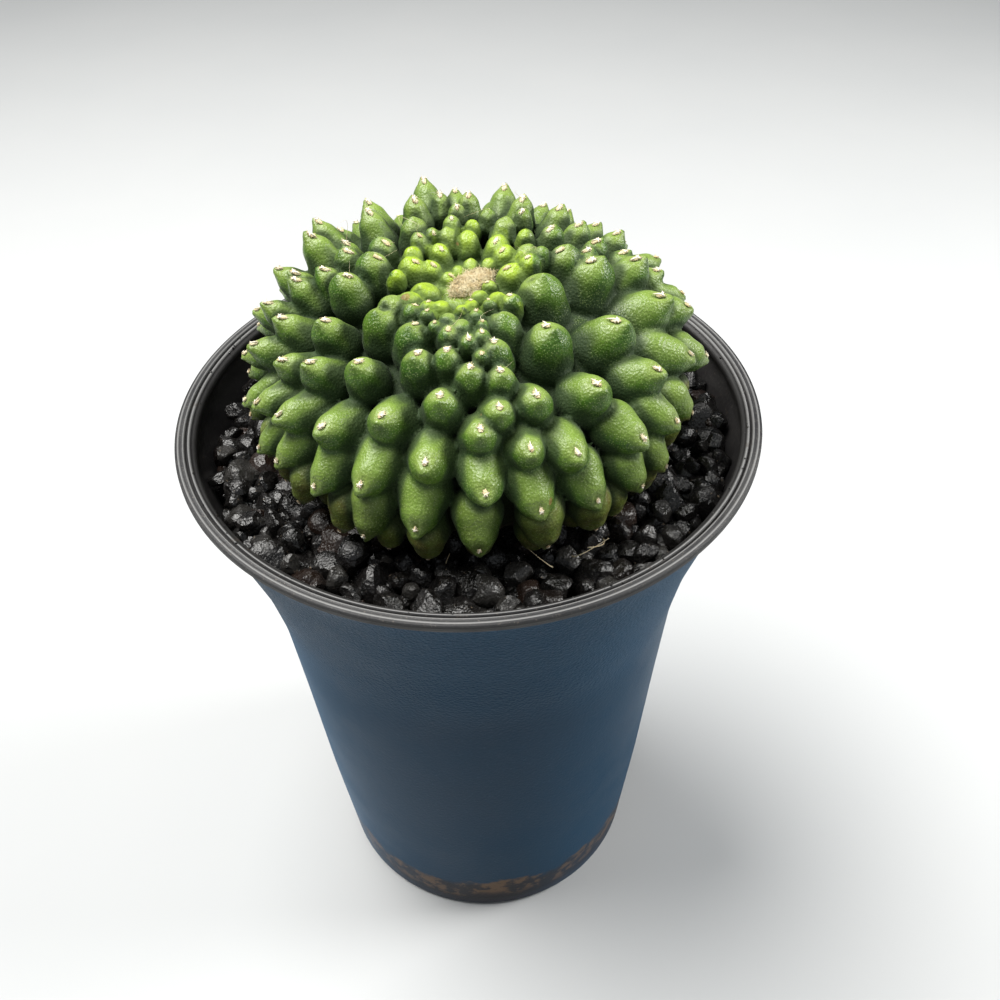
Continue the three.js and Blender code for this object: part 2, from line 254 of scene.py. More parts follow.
def on_meridian(distance):
    """Radius, height and unit downhill direction at a distance from the crown."""
    (r1, z1), (r, z), (r2, z2) = (
        [np.interp(distance + shift, MERIDIAN_LENGTH, m) for m in (MERIDIAN_RADIUS, MERIDIAN_HEIGHT)]
        for shift in (-MERIDIAN_STRIDE, 0, MERIDIAN_STRIDE)
    )
    step = math.hypot(r2 - r1, z2 - z1)
    return r, z, (r2 - r1) / step, (z2 - z1) / step


def lay_out_tubercles():
    """Every tubercle with its place, its axes and its size, ribs first and the young ones after."""
    random = random_source(5)
    plan = [(rib, *row) for rib, rows in enumerate(RIBS) for row in rows]
    plan += [(len(RIBS) + extra, *row) for extra, row in enumerate(YOUNG)]
    for rib, rows in enumerate(RIBS):
        azimuth, distance, width, *_ = rows[-1]
        plan.append((rib, azimuth, distance + LOWEST_ROW_STEP, width - LOWEST_ROW_SLIMMER))
    tubercles = []
    for rib, azimuth, distance, width, *proud in plan:
        half = width / 2 * (1 + GROWN_SWELL * ease(distance, 20, 30))
        if rib >= len(RIBS):
            half *= YOUNG_SWELL
        turn = math.radians(azimuth)
        standing = ease(distance, 16, 42)
        horn = 0.5 + 0.5 * math.cos(turn - HORN_DIRECTION)
        horn *= ease(distance, 16, 24)
        droop = 0.08 + (0.46 - 0.16 * horn) * ease(distance, 24, 54) if rib < len(RIBS) else 0.45
        droop += random.uniform(-0.05, 0.05)
        radius, height, down_r, down_z = on_meridian(distance + 0.33 * half)
        around = np.array([-math.sin(turn), math.cos(turn), 0])
        outward = np.array([math.cos(turn), math.sin(turn), 0])
        up = np.array([0, 0, 1.0])
        normal = outward * -down_z + up * down_r
        down = outward * down_r + up * down_z
        axis = normal * math.cos(droop) + down * math.sin(droop)
        uphill = normal * math.sin(droop) - down * math.cos(droop)
        lift = proud[0] if proud else random.uniform(-0.25, 0.25) * standing
        chin = lean_out(outward * radius + up * height + normal * lift) + PLANT_CENTRE
        if chin[2] < LOWEST_CHIN:
            continue
        tubercles.append(dict(
            rib=rib, distance=distance, half=half, chin=chin, horn=horn, normal=lean_out(normal),
            axis=lean_out(axis), uphill=lean_out(uphill), side=lean_out(around),
            tone=random.uniform(0, 1), length=2.0 + 7.0 * ease(distance, 1, 19),
            fresh=ease(distance, 11.5, 7) * ease(half, 3.4, 2.6),
            inner=ease(distance, 18, 10), pointed=ease(distance, 16, 32),
            blunt=ease(distance, 50, 34) * (1 - 0.85 * horn) * standing,
        ))
    return tubercles


TUBERCLES = lay_out_tubercles()


# Plant body as one solid: distance to its surface at any point, negative inside

def round_cone(along, across, start, end, start_radius, end_radius):
    """Distance to two balls on one axis and the cone that wraps them."""
    span = end - start
    slope = (start_radius - end_radius) / span
    flank = math.sqrt(1 - slope * slope)
    t = along - start
    level = -across * slope + t * flank
    at_start = np.hypot(across, t) - start_radius
    at_end = np.hypot(across, t - span) - end_radius
    between = across * flank + t * slope - start_radius
    return np.where(level < 0, at_start, np.where(level > span * flank, at_end, between))


def tubercle_distance(points, tubercle):
    """A pointed chin that swells into a round belly, on a narrower root that goes straight down."""
    half, horn = tubercle["half"], tubercle["horn"]
    away = points - tubercle["chin"]
    along = away @ tubercle["axis"]
    sideways = np.abs(away @ tubercle["side"])
    rise = away @ tubercle["uphill"]
    upward = np.where(rise > 0, rise / 1.12, -rise)
    keel = 1.86 - 0.12 * horn
    across = (sideways ** keel + upward ** keel) ** (1 / keel)
    nose = 0.08 + (0.08 + 0.24 * tubercle["blunt"]) * half
    shoulder = half * (0.74 - 0.05 * horn - 0.05 * tubercle["pointed"])
    shoulder_at = half * (0.95 + 0.15 * horn)
    belly_at = half * (1.72 + 0.4 * horn)
    outer = round_cone(along, across, -shoulder_at, -nose, shoulder, nose)
    middle = round_cone(along, across, -belly_at, -shoulder_at, half, shoulder)
    body = smooth_min(outer, middle, CHIN_BLEND)
    inward = away + tubercle["axis"] * belly_at
    depth = inward @ tubercle["normal"]
    across = np.sqrt(np.maximum((inward ** 2).sum(1) - depth * depth, 0))
    root_length = max(tubercle["length"] - belly_at, half * 0.6)
    root = round_cone(depth, across, -root_length, 0, half * 0.66, half * 0.94)
    return smooth_min(body, root, ROOT_BLEND)


def globe_level(points, reach, rise, drop):
    """Radius and height from the centre, the half height there, and a level that is 1 on the globe."""
    local = lean_in(points - PLANT_CENTRE)
    radius = np.hypot(local[:, 0], local[:, 1])
    height = local[:, 2]
    span = np.where(height > 0, rise, drop)
    level = ((radius / reach) ** SQUARENESS + (np.abs(height) / span) ** SQUARENESS) ** (1 / SQUARENESS)
    return radius, height, span, level


def stock_gap(points):
    """How far points stand out from the upright base of the body."""
    return np.hypot(points[:, 0], points[:, 1]) - np.interp(points[:, 2], STOCK_HEIGHTS, STOCK_RADII)


def core_distance(points):
    """The body under the tubercles: a globe, a low apex under the young ones and a folded base."""
    radius, height, span, level = globe_level(points, CORE_RADIUS, CORE_RISE, CORE_DROP)
    globe = (level - 1) * np.where(radius > np.abs(height), CORE_RADIUS, span) * CORE_FLATNESS
    apex = (np.sqrt((radius / APEX_RADIUS) ** 2 + ((height - APEX_LEVEL) / APEX_HALF_HEIGHT) ** 2) - 1)
    globe = smooth_min(globe, apex * APEX_HALF_HEIGHT, APEX_BLEND)
    folds = FOLD_DEPTH * np.cos(np.arctan2(points[:, 1], points[:, 0]) * len(RIBS) + 0.25 * points[:, 2])
    stock = (stock_gap(points) - folds) * CORE_FLATNESS
    stock = np.maximum(stock, np.maximum(STOCK_HEIGHTS[0] - points[:, 2], points[:, 2] - STOCK_HEIGHTS[-1]))
    return smooth_min(globe, stock, STOCK_BLEND)


def near_tubercles(points):
    """For each tubercle, which of the points it can touch."""
    close = []
    for tubercle in TUBERCLES:
        middle = tubercle["chin"] - tubercle["axis"] * tubercle["length"] * 0.55
        reach = tubercle["length"] * 0.6 + tubercle["half"] + 2.2
        close.append(np.flatnonzero(((points - middle) ** 2).sum(1) < reach * reach))
    return close


def flesh_distance(points, pits=True, close=None):
    """Ribs are chains of tubercles that melt into each other; between ribs the furrow stays sharp."""
    points = np.asarray(points, dtype=np.float64)
    close = close or near_tubercles(points)
    total = core_distance(points)
    far = 9.0
    rib = np.full(len(points), far)
    for i, tubercle in enumerate(TUBERCLES):
        near = close[i]
        rib[near] = smooth_min(rib[near], tubercle_distance(points[near], tubercle), RIB_BLEND)
        if i + 1 == len(TUBERCLES) or TUBERCLES[i + 1]["rib"] != tubercle["rib"]:
            hit = np.flatnonzero(rib < far)
            total[hit] = smooth_min(total[hit], rib[hit], GROOVE_BLEND)
            rib[hit] = far
    if pits:
        for tubercle, near in zip(TUBERCLES, close):
            press_areole_pit(points, total, tubercle, near)
    return total


def press_areole_pit(points, total, tubercle, near):
    """A shallow slit on the upper side of the chin, where the areole sits."""
    pit_length = 0.30 * tubercle["half"]
    pit_width = 0.16 * tubercle["half"]
    away = points[near] - (tubercle["areole"] + tubercle["areole_normal"] * 0.35 * pit_width)
    inside = (away ** 2).sum(1) < (pit_length + 1.2) ** 2
    near, away = near[inside], away[inside]
    up = away @ tubercle["areole_up"] / pit_length
    aside = away @ tubercle["areole_side"] / pit_width
    out = away @ tubercle["areole_normal"] / pit_width
    pit = (np.sqrt(up * up + aside * aside + out * out) - 1) * pit_width
    total[near] = -smooth_min(-total[near], pit, PIT_BLEND)


TETRAHEDRON = np.array([[1, 1, 1], [1, -1, -1], [-1, 1, -1], [-1, -1, 1]]) * 0.05


def slope_of(points, pits=True, close=None):
    """Outward direction of the surface at each point."""
    close = close or near_tubercles(points)
    return unit(sum(shift * flesh_distance(points + shift, pits, close)[:, None] for shift in TETRAHEDRON))


def place_areoles():
    """Each areole lies on the upper side of its chin: found by dropping a point onto the flesh."""
    start = np.array([
        t["chin"] + t["uphill"] * t["half"] * (0.45 + 0.12 * t["inner"]) - t["axis"] * t["half"] * 0.15
        for t in TUBERCLES
    ])
    for _ in range(4):
        start = start - slope_of(start, pits=False) * flesh_distance(start, pits=False)[:, None]
    normals = slope_of(start, pits=False)
    for tubercle, point, normal in zip(TUBERCLES, start, normals):
        up = unit(tubercle["uphill"] - normal * (tubercle["uphill"] @ normal))
        tubercle["areole"] = point
        tubercle["areole_normal"] = normal
        tubercle["areole_up"] = up
        tubercle["areole_side"] = np.cross(up, normal)


place_areoles()

CORNERS = np.array([[x, y, z] for x in (0, 1) for y in (0, 1) for z in (0, 1)])
CELL_EDGES = [(a, b) for a in range(8) for b in range(a + 1, 8) if np.abs(CORNERS[a] - CORNERS[b]).sum() == 1]


# Box that holds the flesh, and the grid step
SKIN_LOW = np.array([-37.0, -38.0, 100.5])
SKIN_HIGH = np.array([38.0, 36.0, 140.5])
SKIN_STEP = 0.52


def skin_mesh(step):
    """Quads over the flesh: one point per grid cell that the surface crosses, then moved onto it."""
    shape = np.ceil((SKIN_HIGH - SKIN_LOW) / step).astype(int)
    grid = np.stack(np.meshgrid(*[np.arange(n) for n in shape], indexing="ij"), -1).reshape(-1, 3)
    places = SKIN_LOW + grid * step
    level = globe_level(places, TIP_RADIUS, CROWN_RISE, FOOT_DROP)[-1]
    worth = (level < 1.12) & ((level > 0.6) | (places[:, 2] < 108))
    field = np.where(level < 1, -1.0, 1.0)
    field[worth] = flesh_distance(places[worth])
    field = field.reshape(shape)
    edge = np.ones(shape, bool)
    edge[1:-1, 1:-1, 1:-1] = False
    field[edge] = np.maximum(field[edge], 0.01)
    return contour(field, step)


def contour(field, step):
    """Points where the field turns from negative to positive, and the quads between them."""
    shape = np.array(field.shape)
    cells = shape - 1
    values = [field[x:x + cells[0], y:y + cells[1], z:z + cells[2]] for x, y, z in CORNERS]
    below = sum((v < 0).astype(np.int8) for v in values)
    active = (below > 0) & (below < 8)
    index = np.full(cells, -1)
    index[active] = np.arange(active.sum())
    corner_values = np.stack([v[active] for v in values], 1)
    base = np.argwhere(active)
    total = np.zeros((len(base), 3))
    hits = np.zeros(len(base))
    for a, b in CELL_EDGES:
        va, vb = corner_values[:, a], corner_values[:, b]
        cross = (va < 0) != (vb < 0)
        t = va[cross] / (va[cross] - vb[cross])
        total[cross] += CORNERS[a] + t[:, None] * (CORNERS[b] - CORNERS[a])
        hits[cross] += 1
    points = SKIN_LOW + (base + total / hits[:, None]) * step
    faces = []
    for axis in range(3):
        one, two = [(1, 2), (2, 0), (0, 1)][axis]
        first = field[tuple(slice(0, -1) if a == axis else slice(1, -1) for a in range(3))]
        second = field[tuple(slice(1, None) if a == axis else slice(1, -1) for a in range(3))]
        for flip, cross in ((False, (first < 0) & (second >= 0)), (True, (first >= 0) & (second < 0))):
            spots = np.argwhere(cross)
            spots[:, one] += 1
            spots[:, two] += 1
            ring = []
            for d_one, d_two in ((0, 0), (-1, 0), (-1, -1), (0, -1)):
                cell = spots.copy()
                cell[:, one] += d_one
                cell[:, two] += d_two
                ring.append(index[cell[:, 0], cell[:, 1], cell[:, 2]])
            quads = np.stack(ring, 1)
            faces.append(quads[:, ::-1] if flip else quads)
    return points, np.concatenate(faces)


# How far out the open air over the skin is probed, for the shade in narrow places
AIR_PROBES = (0.7, 1.8, 3.6)


def make_plant(material):
    step = SKIN_STEP
    points, faces = skin_mesh(step)
    for _ in range(2):
        close = near_tubercles(points)
        distance = flesh_distance(points, close=close)
        points = points - slope_of(points, close=close) * np.clip(distance, -step, step)[:, None]
    plant = make_object("cactus_flesh", points, faces, [material])
    radius, _, _, level = globe_level(points, TIP_RADIUS, CROWN_RISE, FOOT_DROP)
    depth = (1 - level) * 24
    tone, nearest, chin_gap = nearest_tubercle(points)
    distance = np.array([t["distance"] for t in TUBERCLES])
    fresh = np.array([t["fresh"] for t in TUBERCLES])
    uphill = unit(np.array([t["uphill"] for t in TUBERCLES])[nearest] * 0.55 + [0, 0, 0.7])
    normals = slope_of(points, pits=False)
    middle = np.exp(-(radius / 5.0) ** 2)
    set_values(plant, "young", np.maximum(fresh[nearest] * smoothstep(depth, 7, 2), middle * 0.8))
    set_values(plant, "foot", smoothstep(distance[nearest], 43, 53))
    set_values(plant, "bark", smoothstep(stock_gap(points), 1.6, 0.5) * smoothstep(points[:, 2], 113, 109))
    # painted shade: places sunk below the tips' globe, away from the crown's middle, are marked for darkening
    set_values(plant, "groove_shade", smoothstep(depth, 1.6, 6.5) * smoothstep(radius, 5, 12))
    # painted highlight: sides that face up their tubercle's slope are marked for a paler green that stands in
    # for light from above
    set_values(plant, "upper_side_highlight", smoothstep((normals * uphill).sum(1), -0.3, 0.9))
    # painted shade: how closely flesh hems in each point, for darker green in narrow places
    open_air = np.ones(len(points))
    for reach in AIR_PROBES:
        free = flesh_distance(points + normals * reach, pits=False) / reach
        open_air *= 0.4 + 0.6 * np.clip(free, 0, 1)
    set_values(plant, "crevice_shade", 1 - open_air)
    set_values(plant, "tone", tone)
    set_values(plant, "chin", smoothstep(chin_gap, 2.6, 0.6))
    return plant


def nearest_tubercle(points):
    """Tone and number of the tubercle each point belongs to, and the gap to its areole."""
    best = np.full(len(points), 1e9)
    nearest = np.zeros(len(points), int)
    for i, tubercle in enumerate(TUBERCLES):
        middle = tubercle["chin"] - tubercle["axis"] * tubercle["length"] * 0.6
        gap = ((points - middle) ** 2).sum(1) / tubercle["half"] ** 2
        closer = gap < best
        best[closer] = gap[closer]
        nearest[closer] = i
    chins = np.array([t["areole"] for t in TUBERCLES])[nearest]
    tones = np.array([t["tone"] for t in TUBERCLES])[nearest]
    return tones, nearest, np.linalg.norm(points - chins, axis=1)


# Fine threads: wool and spines

def thread_mesh(paths, radii, sides):
    """Tapered threads. paths is (count, steps, 3) and radii is (count, steps); the ends are closed."""
    count, steps, _ = paths.shape
    tangent = unit(np.gradient(paths, axis=1))
    helper = np.where(np.abs(tangent[..., 2:3]) < 0.9, [0, 0, 1.0], [1.0, 0, 0])
    first = unit(np.cross(tangent, helper))
    second = np.cross(tangent, first)
    angle = np.arange(sides) / sides * 2 * math.pi
    ring = first[:, :, None] * np.cos(angle)[:, None] + second[:, :, None] * np.sin(angle)[:, None]
    points = (paths[:, :, None] + ring * radii[:, :, None, None]).reshape(count, steps * sides, 3)
    points = np.concatenate([points, paths[:, :1], paths[:, -1:]], 1)
    faces = []
    for s in range(sides):
        n = (s + 1) % sides
        for k in range(steps - 1):
            a, b, c, d = k * sides + s, k * sides + n, (k + 1) * sides + n, (k + 1) * sides + s
            faces += [(a, b, c), (a, c, d)]
        faces.append((steps * sides, n, s))
        faces.append((steps * sides + 1, (steps - 1) * sides + s, (steps - 1) * sides + n))
    faces = np.array(faces)
    per = steps * sides + 2
    all_faces = (faces[None] + (np.arange(count) * per)[:, None, None]).reshape(-1, 3)
    return points.reshape(-1, 3), all_faces


def make_threads(name, paths, radii, sides, material, age):
    points, faces = thread_mesh(paths, radii, sides)
    piece = make_object(name, points, faces, [material])
    set_values(piece, "age", np.full(len(points), age))
    return piece


def curl_paths(random, starts, directions, lengths, steps, curl):
    """Threads that start at a point, run in a direction and bend a little at random."""
    count = len(starts)
    bend = unit(random.normal(size=(count, 3)))
    t = np.linspace(0, 1, steps)[None, :, None]
    bend = bend - directions * (bend * directions).sum(1)[:, None]
    wave = random.normal(size=(count, 3)) * curl * 0.4
    reach = lengths[:, None, None]
    path = starts[:, None] + directions[:, None] * t * reach
    path = path + bend[:, None] * (t ** 2) * curl * reach
    return path + wave[:, None] * np.sin(t * math.pi) * reach


def dome(centre, up, side, normal, up_half, side_half, height, random):
    """A low lumpy cushion on the flesh."""
    rings, segments = 6, 16
    phi = np.linspace(0.02, 1.0, rings) * 0.62 * math.pi
    theta = np.arange(segments) / segments * 2 * math.pi
    lump = 1 + random.normal(size=(rings, segments)) * 0.09
    lift = np.cos(phi)[:, None] * lump * height
    out = np.sin(phi)[:, None] * lump
    points = (
        centre
        + up * (out * np.cos(theta) * up_half)[..., None]
        + side * (out * np.sin(theta) * side_half)[..., None]
        + normal * lift[..., None]
    ).reshape(-1, 3)
    faces = []
    for r in range(rings - 1):
        for s in range(segments):
            n = (s + 1) % segments
            a, b = r * segments + s, r * segments + n
            c, d = (r + 1) * segments + n, (r + 1) * segments + s
            faces += [(a, d, c), (a, c, b)]
    top = len(points)
    under = top + 1
    points = np.concatenate([points, [centre + normal * height], [centre - normal * height * 0.5]])
    for s in range(segments):
        n = (s + 1) % segments
        faces.append((top, s, n))
        faces.append((under, (rings - 1) * segments + n, (rings - 1) * segments + s))
    return points, np.array(faces)


def areole_size(tubercle):
    """Half length up the slope and half width of the wool."""
    old = ease(tubercle["distance"], 22, 46)
    grown = ease(tubercle["half"], 0.7, 2.4)
    size = 1 - 0.28 * tubercle["inner"]
    up_half = (0.26 + 0.50 * grown) * (1 - 0.58 * old) * size
    side_half = (0.18 + 0.19 * grown) * (1 - 0.38 * old) * size
    return up_half, side_half


def make_areole_wool(material):
    random = random_source(21)
    parts = []
    ages = []
    for tubercle in TUBERCLES:
        if tubercle["distance"] < 15 and tubercle["tone"] > 0.45:
            continue
        up_half, side_half = areole_size(tubercle)
        normal, up, side = tubercle["areole_normal"], tubercle["areole_up"], tubercle["areole_side"]
        centre = tubercle["areole"] - normal * 0.10
        parts.append(dome(centre, up, side, normal, up_half, side_half, 0.30 * side_half + 0.12, random))
        strands = int(16 + 16 * up_half)
        along = random.uniform(-1, 1, strands)
        across = random.uniform(-1, 1, strands) * np.sqrt(1 - along ** 2)
        starts = centre + up * (along * up_half * 0.9)[:, None] + side * (across * side_half * 0.9)[:, None]
        directions = (
            normal * random.uniform(0.1, 0.45, strands)[:, None]
            + side * (across * 0.8 + random.normal(0, 0.25, strands))[:, None]
            + up * (along * 0.6 + 0.2 + random.normal(0, 0.35, strands))[:, None]
        )
        lengths = random.uniform(0.22, 0.5, strands) * (0.5 + 0.5 * up_half)
        paths = curl_paths(random, starts, unit(directions), lengths, 4, 0.35)
        radii = np.array([0.05, 0.045, 0.035, 0.012]) * random.uniform(0.7, 1.1, (strands, 1))
        parts.append(thread_mesh(paths, radii, 3))
        age = ease(tubercle["distance"], 42, 54)
        ages += [age] * sum(len(points) for points, _ in parts[-2:])
    points, faces = join_meshes(parts)
    wool = make_object("areole_wool", points, faces, [material])
    set_values(wool, "age", ages)
    return wool


# Spines of one areole: angle from uphill in radians and share of the full length
SPINE_RAYS = ((0.05, 1.15), (1.15, 0.62), (-1.1, 0.62), (2.2, 0.5), (-2.25, 0.5))


def make_spines(material):
    """Short stout spines that lie in a star on each areole, the longest pointing up the slope."""
    random = random_source(33)
    paths, radii, tips = [], [], []
    steps = 5
    for tubercle in TUBERCLES:
        if tubercle["half"] < 1.2 or tubercle["distance"] < 15:
            continue
        normal, up, side = tubercle["areole_normal"], tubercle["areole_up"], tubercle["areole_side"]
        up_half, _ = areole_size(tubercle)
        seat = tubercle["areole"] - up * up_half * 0.35 + normal * 0.08
        size = 0.60 + 0.50 * tubercle["half"] / 3.3
        size *= 1 - 0.46 * ease(tubercle["distance"], 22, 46)
        for turn, share in SPINE_RAYS:
            if random.uniform() < 0.2:
                continue
            angle = turn + random.normal(0, 0.2)
            reach = share * size * random.uniform(0.75, 1.2)
            heading = up * math.cos(angle) + side * math.sin(angle) + normal * random.uniform(0.1, 0.3)
            t = np.linspace(0, 1, steps)[:, None]
            paths.append(seat + unit(heading) * t * reach - normal * t * t * reach * 0.2)
            radii.append(0.12 * size * np.array([1.25, 1.1, 0.9, 0.6, 0.16]))
            tips.append(random.uniform(0, 1))
    points, faces = thread_mesh(np.array(paths), np.array(radii), 5)
    spines = make_object("spines", points, faces, [material])
    per = steps * 5 + 2
    along = np.concatenate([np.repeat(np.linspace(0, 1, steps), 5), [0, 1]])
    set_values(spines, "along", np.tile(along, len(paths)))
    set_values(spines, "tone", np.repeat(tips, per))
    return spines


# Woolly growing point, a little longer than wide
WOOL_CENTRE = (0.9, 0.1)
WOOL_HALVES = (3.6, 2.0)
WOOL_TURN = math.radians(42)
WOOL_RISE = 0.95
WOOL_SEAT = 14.9
CROWN_THREADS = 2600
STRAY_HAIRS = 16


def wool_surface(random, count):
    """Points and outward directions on the crown's wool cushion, in the part's axes."""
    direction = unit(random.normal(size=(count, 3)))
    direction[:, 2] = np.abs(direction[:, 2])
    along, across = WOOL_HALVES
    shape = direction * [along, across, WOOL_RISE]
    lump = 1 + 0.12 * np.sin(shape[:, :1] * 2.1 + 1) * np.cos(shape[:, 1:2] * 2.6)
    out = unit(direction / [along, across, WOOL_RISE])
    c, s = math.cos(WOOL_TURN), math.sin(WOOL_TURN)
    turn = np.array([[c, s, 0], [-s, c, 0], [0, 0, 1]])
    local = (shape * lump) @ turn + [*WOOL_CENTRE, WOOL_SEAT]
    return lean_out(local) + PLANT_CENTRE, lean_out(out @ turn)


def make_crown_wool(material):
    random = random_source(47)
    c, s = math.cos(WOOL_TURN), math.sin(WOOL_TURN)
    seat = lean_out(np.array([*WOOL_CENTRE, WOOL_SEAT])) + PLANT_CENTRE
    along, across = lean_out(np.array([c, s, 0])), lean_out(np.array([-s, c, 0]))
    up = lean_out(np.array([0, 0, 1.0]))
    halves = [half * 0.96 for half in WOOL_HALVES]
    cushion = dome(seat, along, across, up, *halves, WOOL_RISE * 0.94, random)
    count = CROWN_THREADS
    starts, outward = wool_surface(random, count)
    sideways = unit(random.normal(size=(count, 3)))
    directions = unit(outward * 0.06 + sideways - outward * (sideways * outward).sum(1)[:, None])
    paths = curl_paths(random, starts - outward * 0.12, directions, random.uniform(0.7, 1.5, count), 5, 0.3)
    radii = np.array([0.03, 0.045, 0.045, 0.035, 0.012]) * random.uniform(0.7, 1.2, (count, 1))
    threads = thread_mesh(paths, radii, 3)
    points, faces = join_meshes([cushion, threads])
    wool = make_object("crown_wool", points, faces, [material])
    set_values(wool, "age", np.zeros(len(points)))
    return wool


def make_stray_hairs(material):
    """A few long hairs that stand out of the crown and between the tubercles."""
    random = random_source(52)
    count = STRAY_HAIRS
    grown = [i for i, tubercle in enumerate(TUBERCLES) if 9 < tubercle["distance"] < 30]
    picks = random.choice(grown, count, replace=False)
    starts = np.array([TUBERCLES[i]["areole"] for i in picks])
    normals = np.array([TUBERCLES[i]["areole_normal"] for i in picks])
    directions = unit(normals * 0.5 + random.normal(size=(count, 3)) * 0.6)
    paths = curl_paths(random, starts, directions, random.uniform(1.4, 3.0, count), 14, 0.8)
    radii = np.linspace(0.035, 0.01, 14)[None] * np.ones((count, 1))
    return make_threads("stray_hairs", paths, radii, 4, material, 0)


# Dry rootlets on the grit by the plant's front: where each starts, its heading in degrees and its length
ROOTLETS = ((14.0, -29.5, 25, 5.5), (16.5, -28.0, 80, 3.6), (11.5, -31.5, 160, 4.2), (-3.0, -31.5, 60, 2.4))
ROOTLET_LEVEL = 105.9


def make_rootlets(material):
    random = random_source(61)
    paths, radii = [], []
    steps = 12
    for x, y, heading, length in ROOTLETS:
        turn = math.radians(heading)
        start = np.array([[x, y, ROOTLET_LEVEL]])
        direction = np.array([[math.cos(turn), math.sin(turn), 0.06]])
        paths.append(curl_paths(random, start, direction, np.array([length]), steps, 0.45)[0])
        radii.append(np.linspace(0.10, 0.03, steps))
    return make_threads("dry_rootlets", np.array(paths), np.array(radii), 5, material, 0.35)


# Pot

WALL = 1.2
FLOOR_LOW = 1.6
FLOOR_HIGH = 3.1
POT_OUTLINE = (
    (30.8, 1.0), (32.8, 27.6), (34.3, 55.0), (35.6, 75.0), (37.8, 88.0), (40.3, 97.0), (42.2, 103.7),
    (44.1, 108.3),
)


def pot_radius(height):
    """Outer radius of the pot wall, smoothed between the measured heights."""
    radii, heights = zip(*POT_OUTLINE)
    spread = np.linspace(-5, 5, 11)
    weight = np.exp(-(spread / 3.2) ** 2)
    height = np.asarray(height, float)
    room = np.clip(np.minimum(height - heights[0], heights[-1] - height) / 5, 0, 1)
    samples = np.interp(height[..., None] + spread * room[..., None], heights, radii)
    return (samples * weight).sum(-1) / weight.sum()


def revolve(profile, segments):
    """Closed surface of revolution from (radius, height) points that begin and end on the axis."""
    angle = np.arange(segments) / segments * 2 * math.pi
    body = np.array(profile[1:-1])
    rings = np.stack([
        body[:, None, 0] * np.cos(angle),
        body[:, None, 0] * np.sin(angle),
        np.repeat(body[:, 1:2], segments, 1),
    ], -1)
    points = np.concatenate([rings.reshape(-1, 3), [[0, 0, profile[0][1]], [0, 0, profile[-1][1]]]])
    faces = [ring_quads(row, segments) for row in range(len(body) - 1)]
    near = np.arange(segments)
    far = (near + 1) % segments
    start, end = len(points) - 2, len(points) - 1
    last = (len(body) - 1) * segments
    caps = [(start, int(f), int(n)) for n, f in zip(near, far)]
    caps += [(end, last + int(n), last + int(f)) for n, f in zip(near, far)]
    return points, np.concatenate(faces), np.array(caps)


def pot_profile():
    foot = [(0, FLOOR_LOW), (26.0, FLOOR_LOW), (27.2, 1.4), (27.7, 0.5), (28.1, 0.1), (28.6, 0), (29.9, 0)]
    foot += [(30.3, 0.15), (30.6, 0.5)]
    heights = np.concatenate([np.linspace(1.0, 88, 30), np.linspace(89.5, 108.2, 20)])
    outside = [(float(pot_radius(z)), float(z)) for z in heights]
    lip = [
        (44.5, 108.75), (44.85, 108.95), (45.0, 109.2), (45.0, 109.9), (44.94, 110.15), (44.78, 110.3),
        (44.4, 110.28), (44.0, 110.29), (43.75, 110.3), (43.62, 110.22), (43.54, 109.95), (43.48, 109.72),
        (43.3, 109.7), (43.22, 109.9), (43.14, 110.12), (43.0, 110.13), (42.7, 109.92), (42.35, 109.62),
        (42.08, 109.35), (41.95, 109.1), (41.92, 108.8), (42.05, 108.5), (42.3, 108.2), (42.35, 107.6),
    ]
    inner_heights = np.concatenate([np.linspace(106.8, 92, 14), np.linspace(88, FLOOR_HIGH + 1, 18)])
    inside = [(float(pot_radius(z)) - WALL, float(z)) for z in inner_heights]
    inside += [(29.3, FLOOR_HIGH + 0.3), (28.8, FLOOR_HIGH), (0, FLOOR_HIGH)]
    return foot + outside + lip + inside, len(foot) + len(outside), len(foot) + len(outside) + len(lip)


POT_SEGMENTS = 288


def make_pot(outside, rim, inside):
    profile, rim_start, rim_end = pot_profile()
    points, quads, caps = revolve(profile, POT_SEGMENTS)
    mesh = bpy.data.meshes.new("pot_shell")
    mesh.from_pydata((points * MM).tolist(), [], quads.tolist() + caps.tolist())
    for material in (outside, rim, inside):
        mesh.materials.append(material)
    slots = np.zeros(len(mesh.polygons), int)
    ring = np.arange(len(quads)) // POT_SEGMENTS + 1
    slots[:len(quads)] = np.where(ring < rim_start - 1, 0, np.where(ring < rim_end - 2, 1, 2))
    slots[len(quads) + POT_SEGMENTS:] = 2
    mesh.polygons.foreach_set("material_index", slots)
    mesh.polygons.foreach_set("use_smooth", np.ones(len(slots), bool))
    pot = bpy.data.objects.new("pot_shell", mesh)
    bpy.context.scene.collection.objects.link(pot)
    cut_drain_slots(pot)
    return pot


# Drain slots through the pot's floor: how many, their middles' radius and their size
SLOT_COUNT = 8
SLOT_RADIUS = 19.5
SLOT_SIZE = (9.0, 3.2, 4.5)


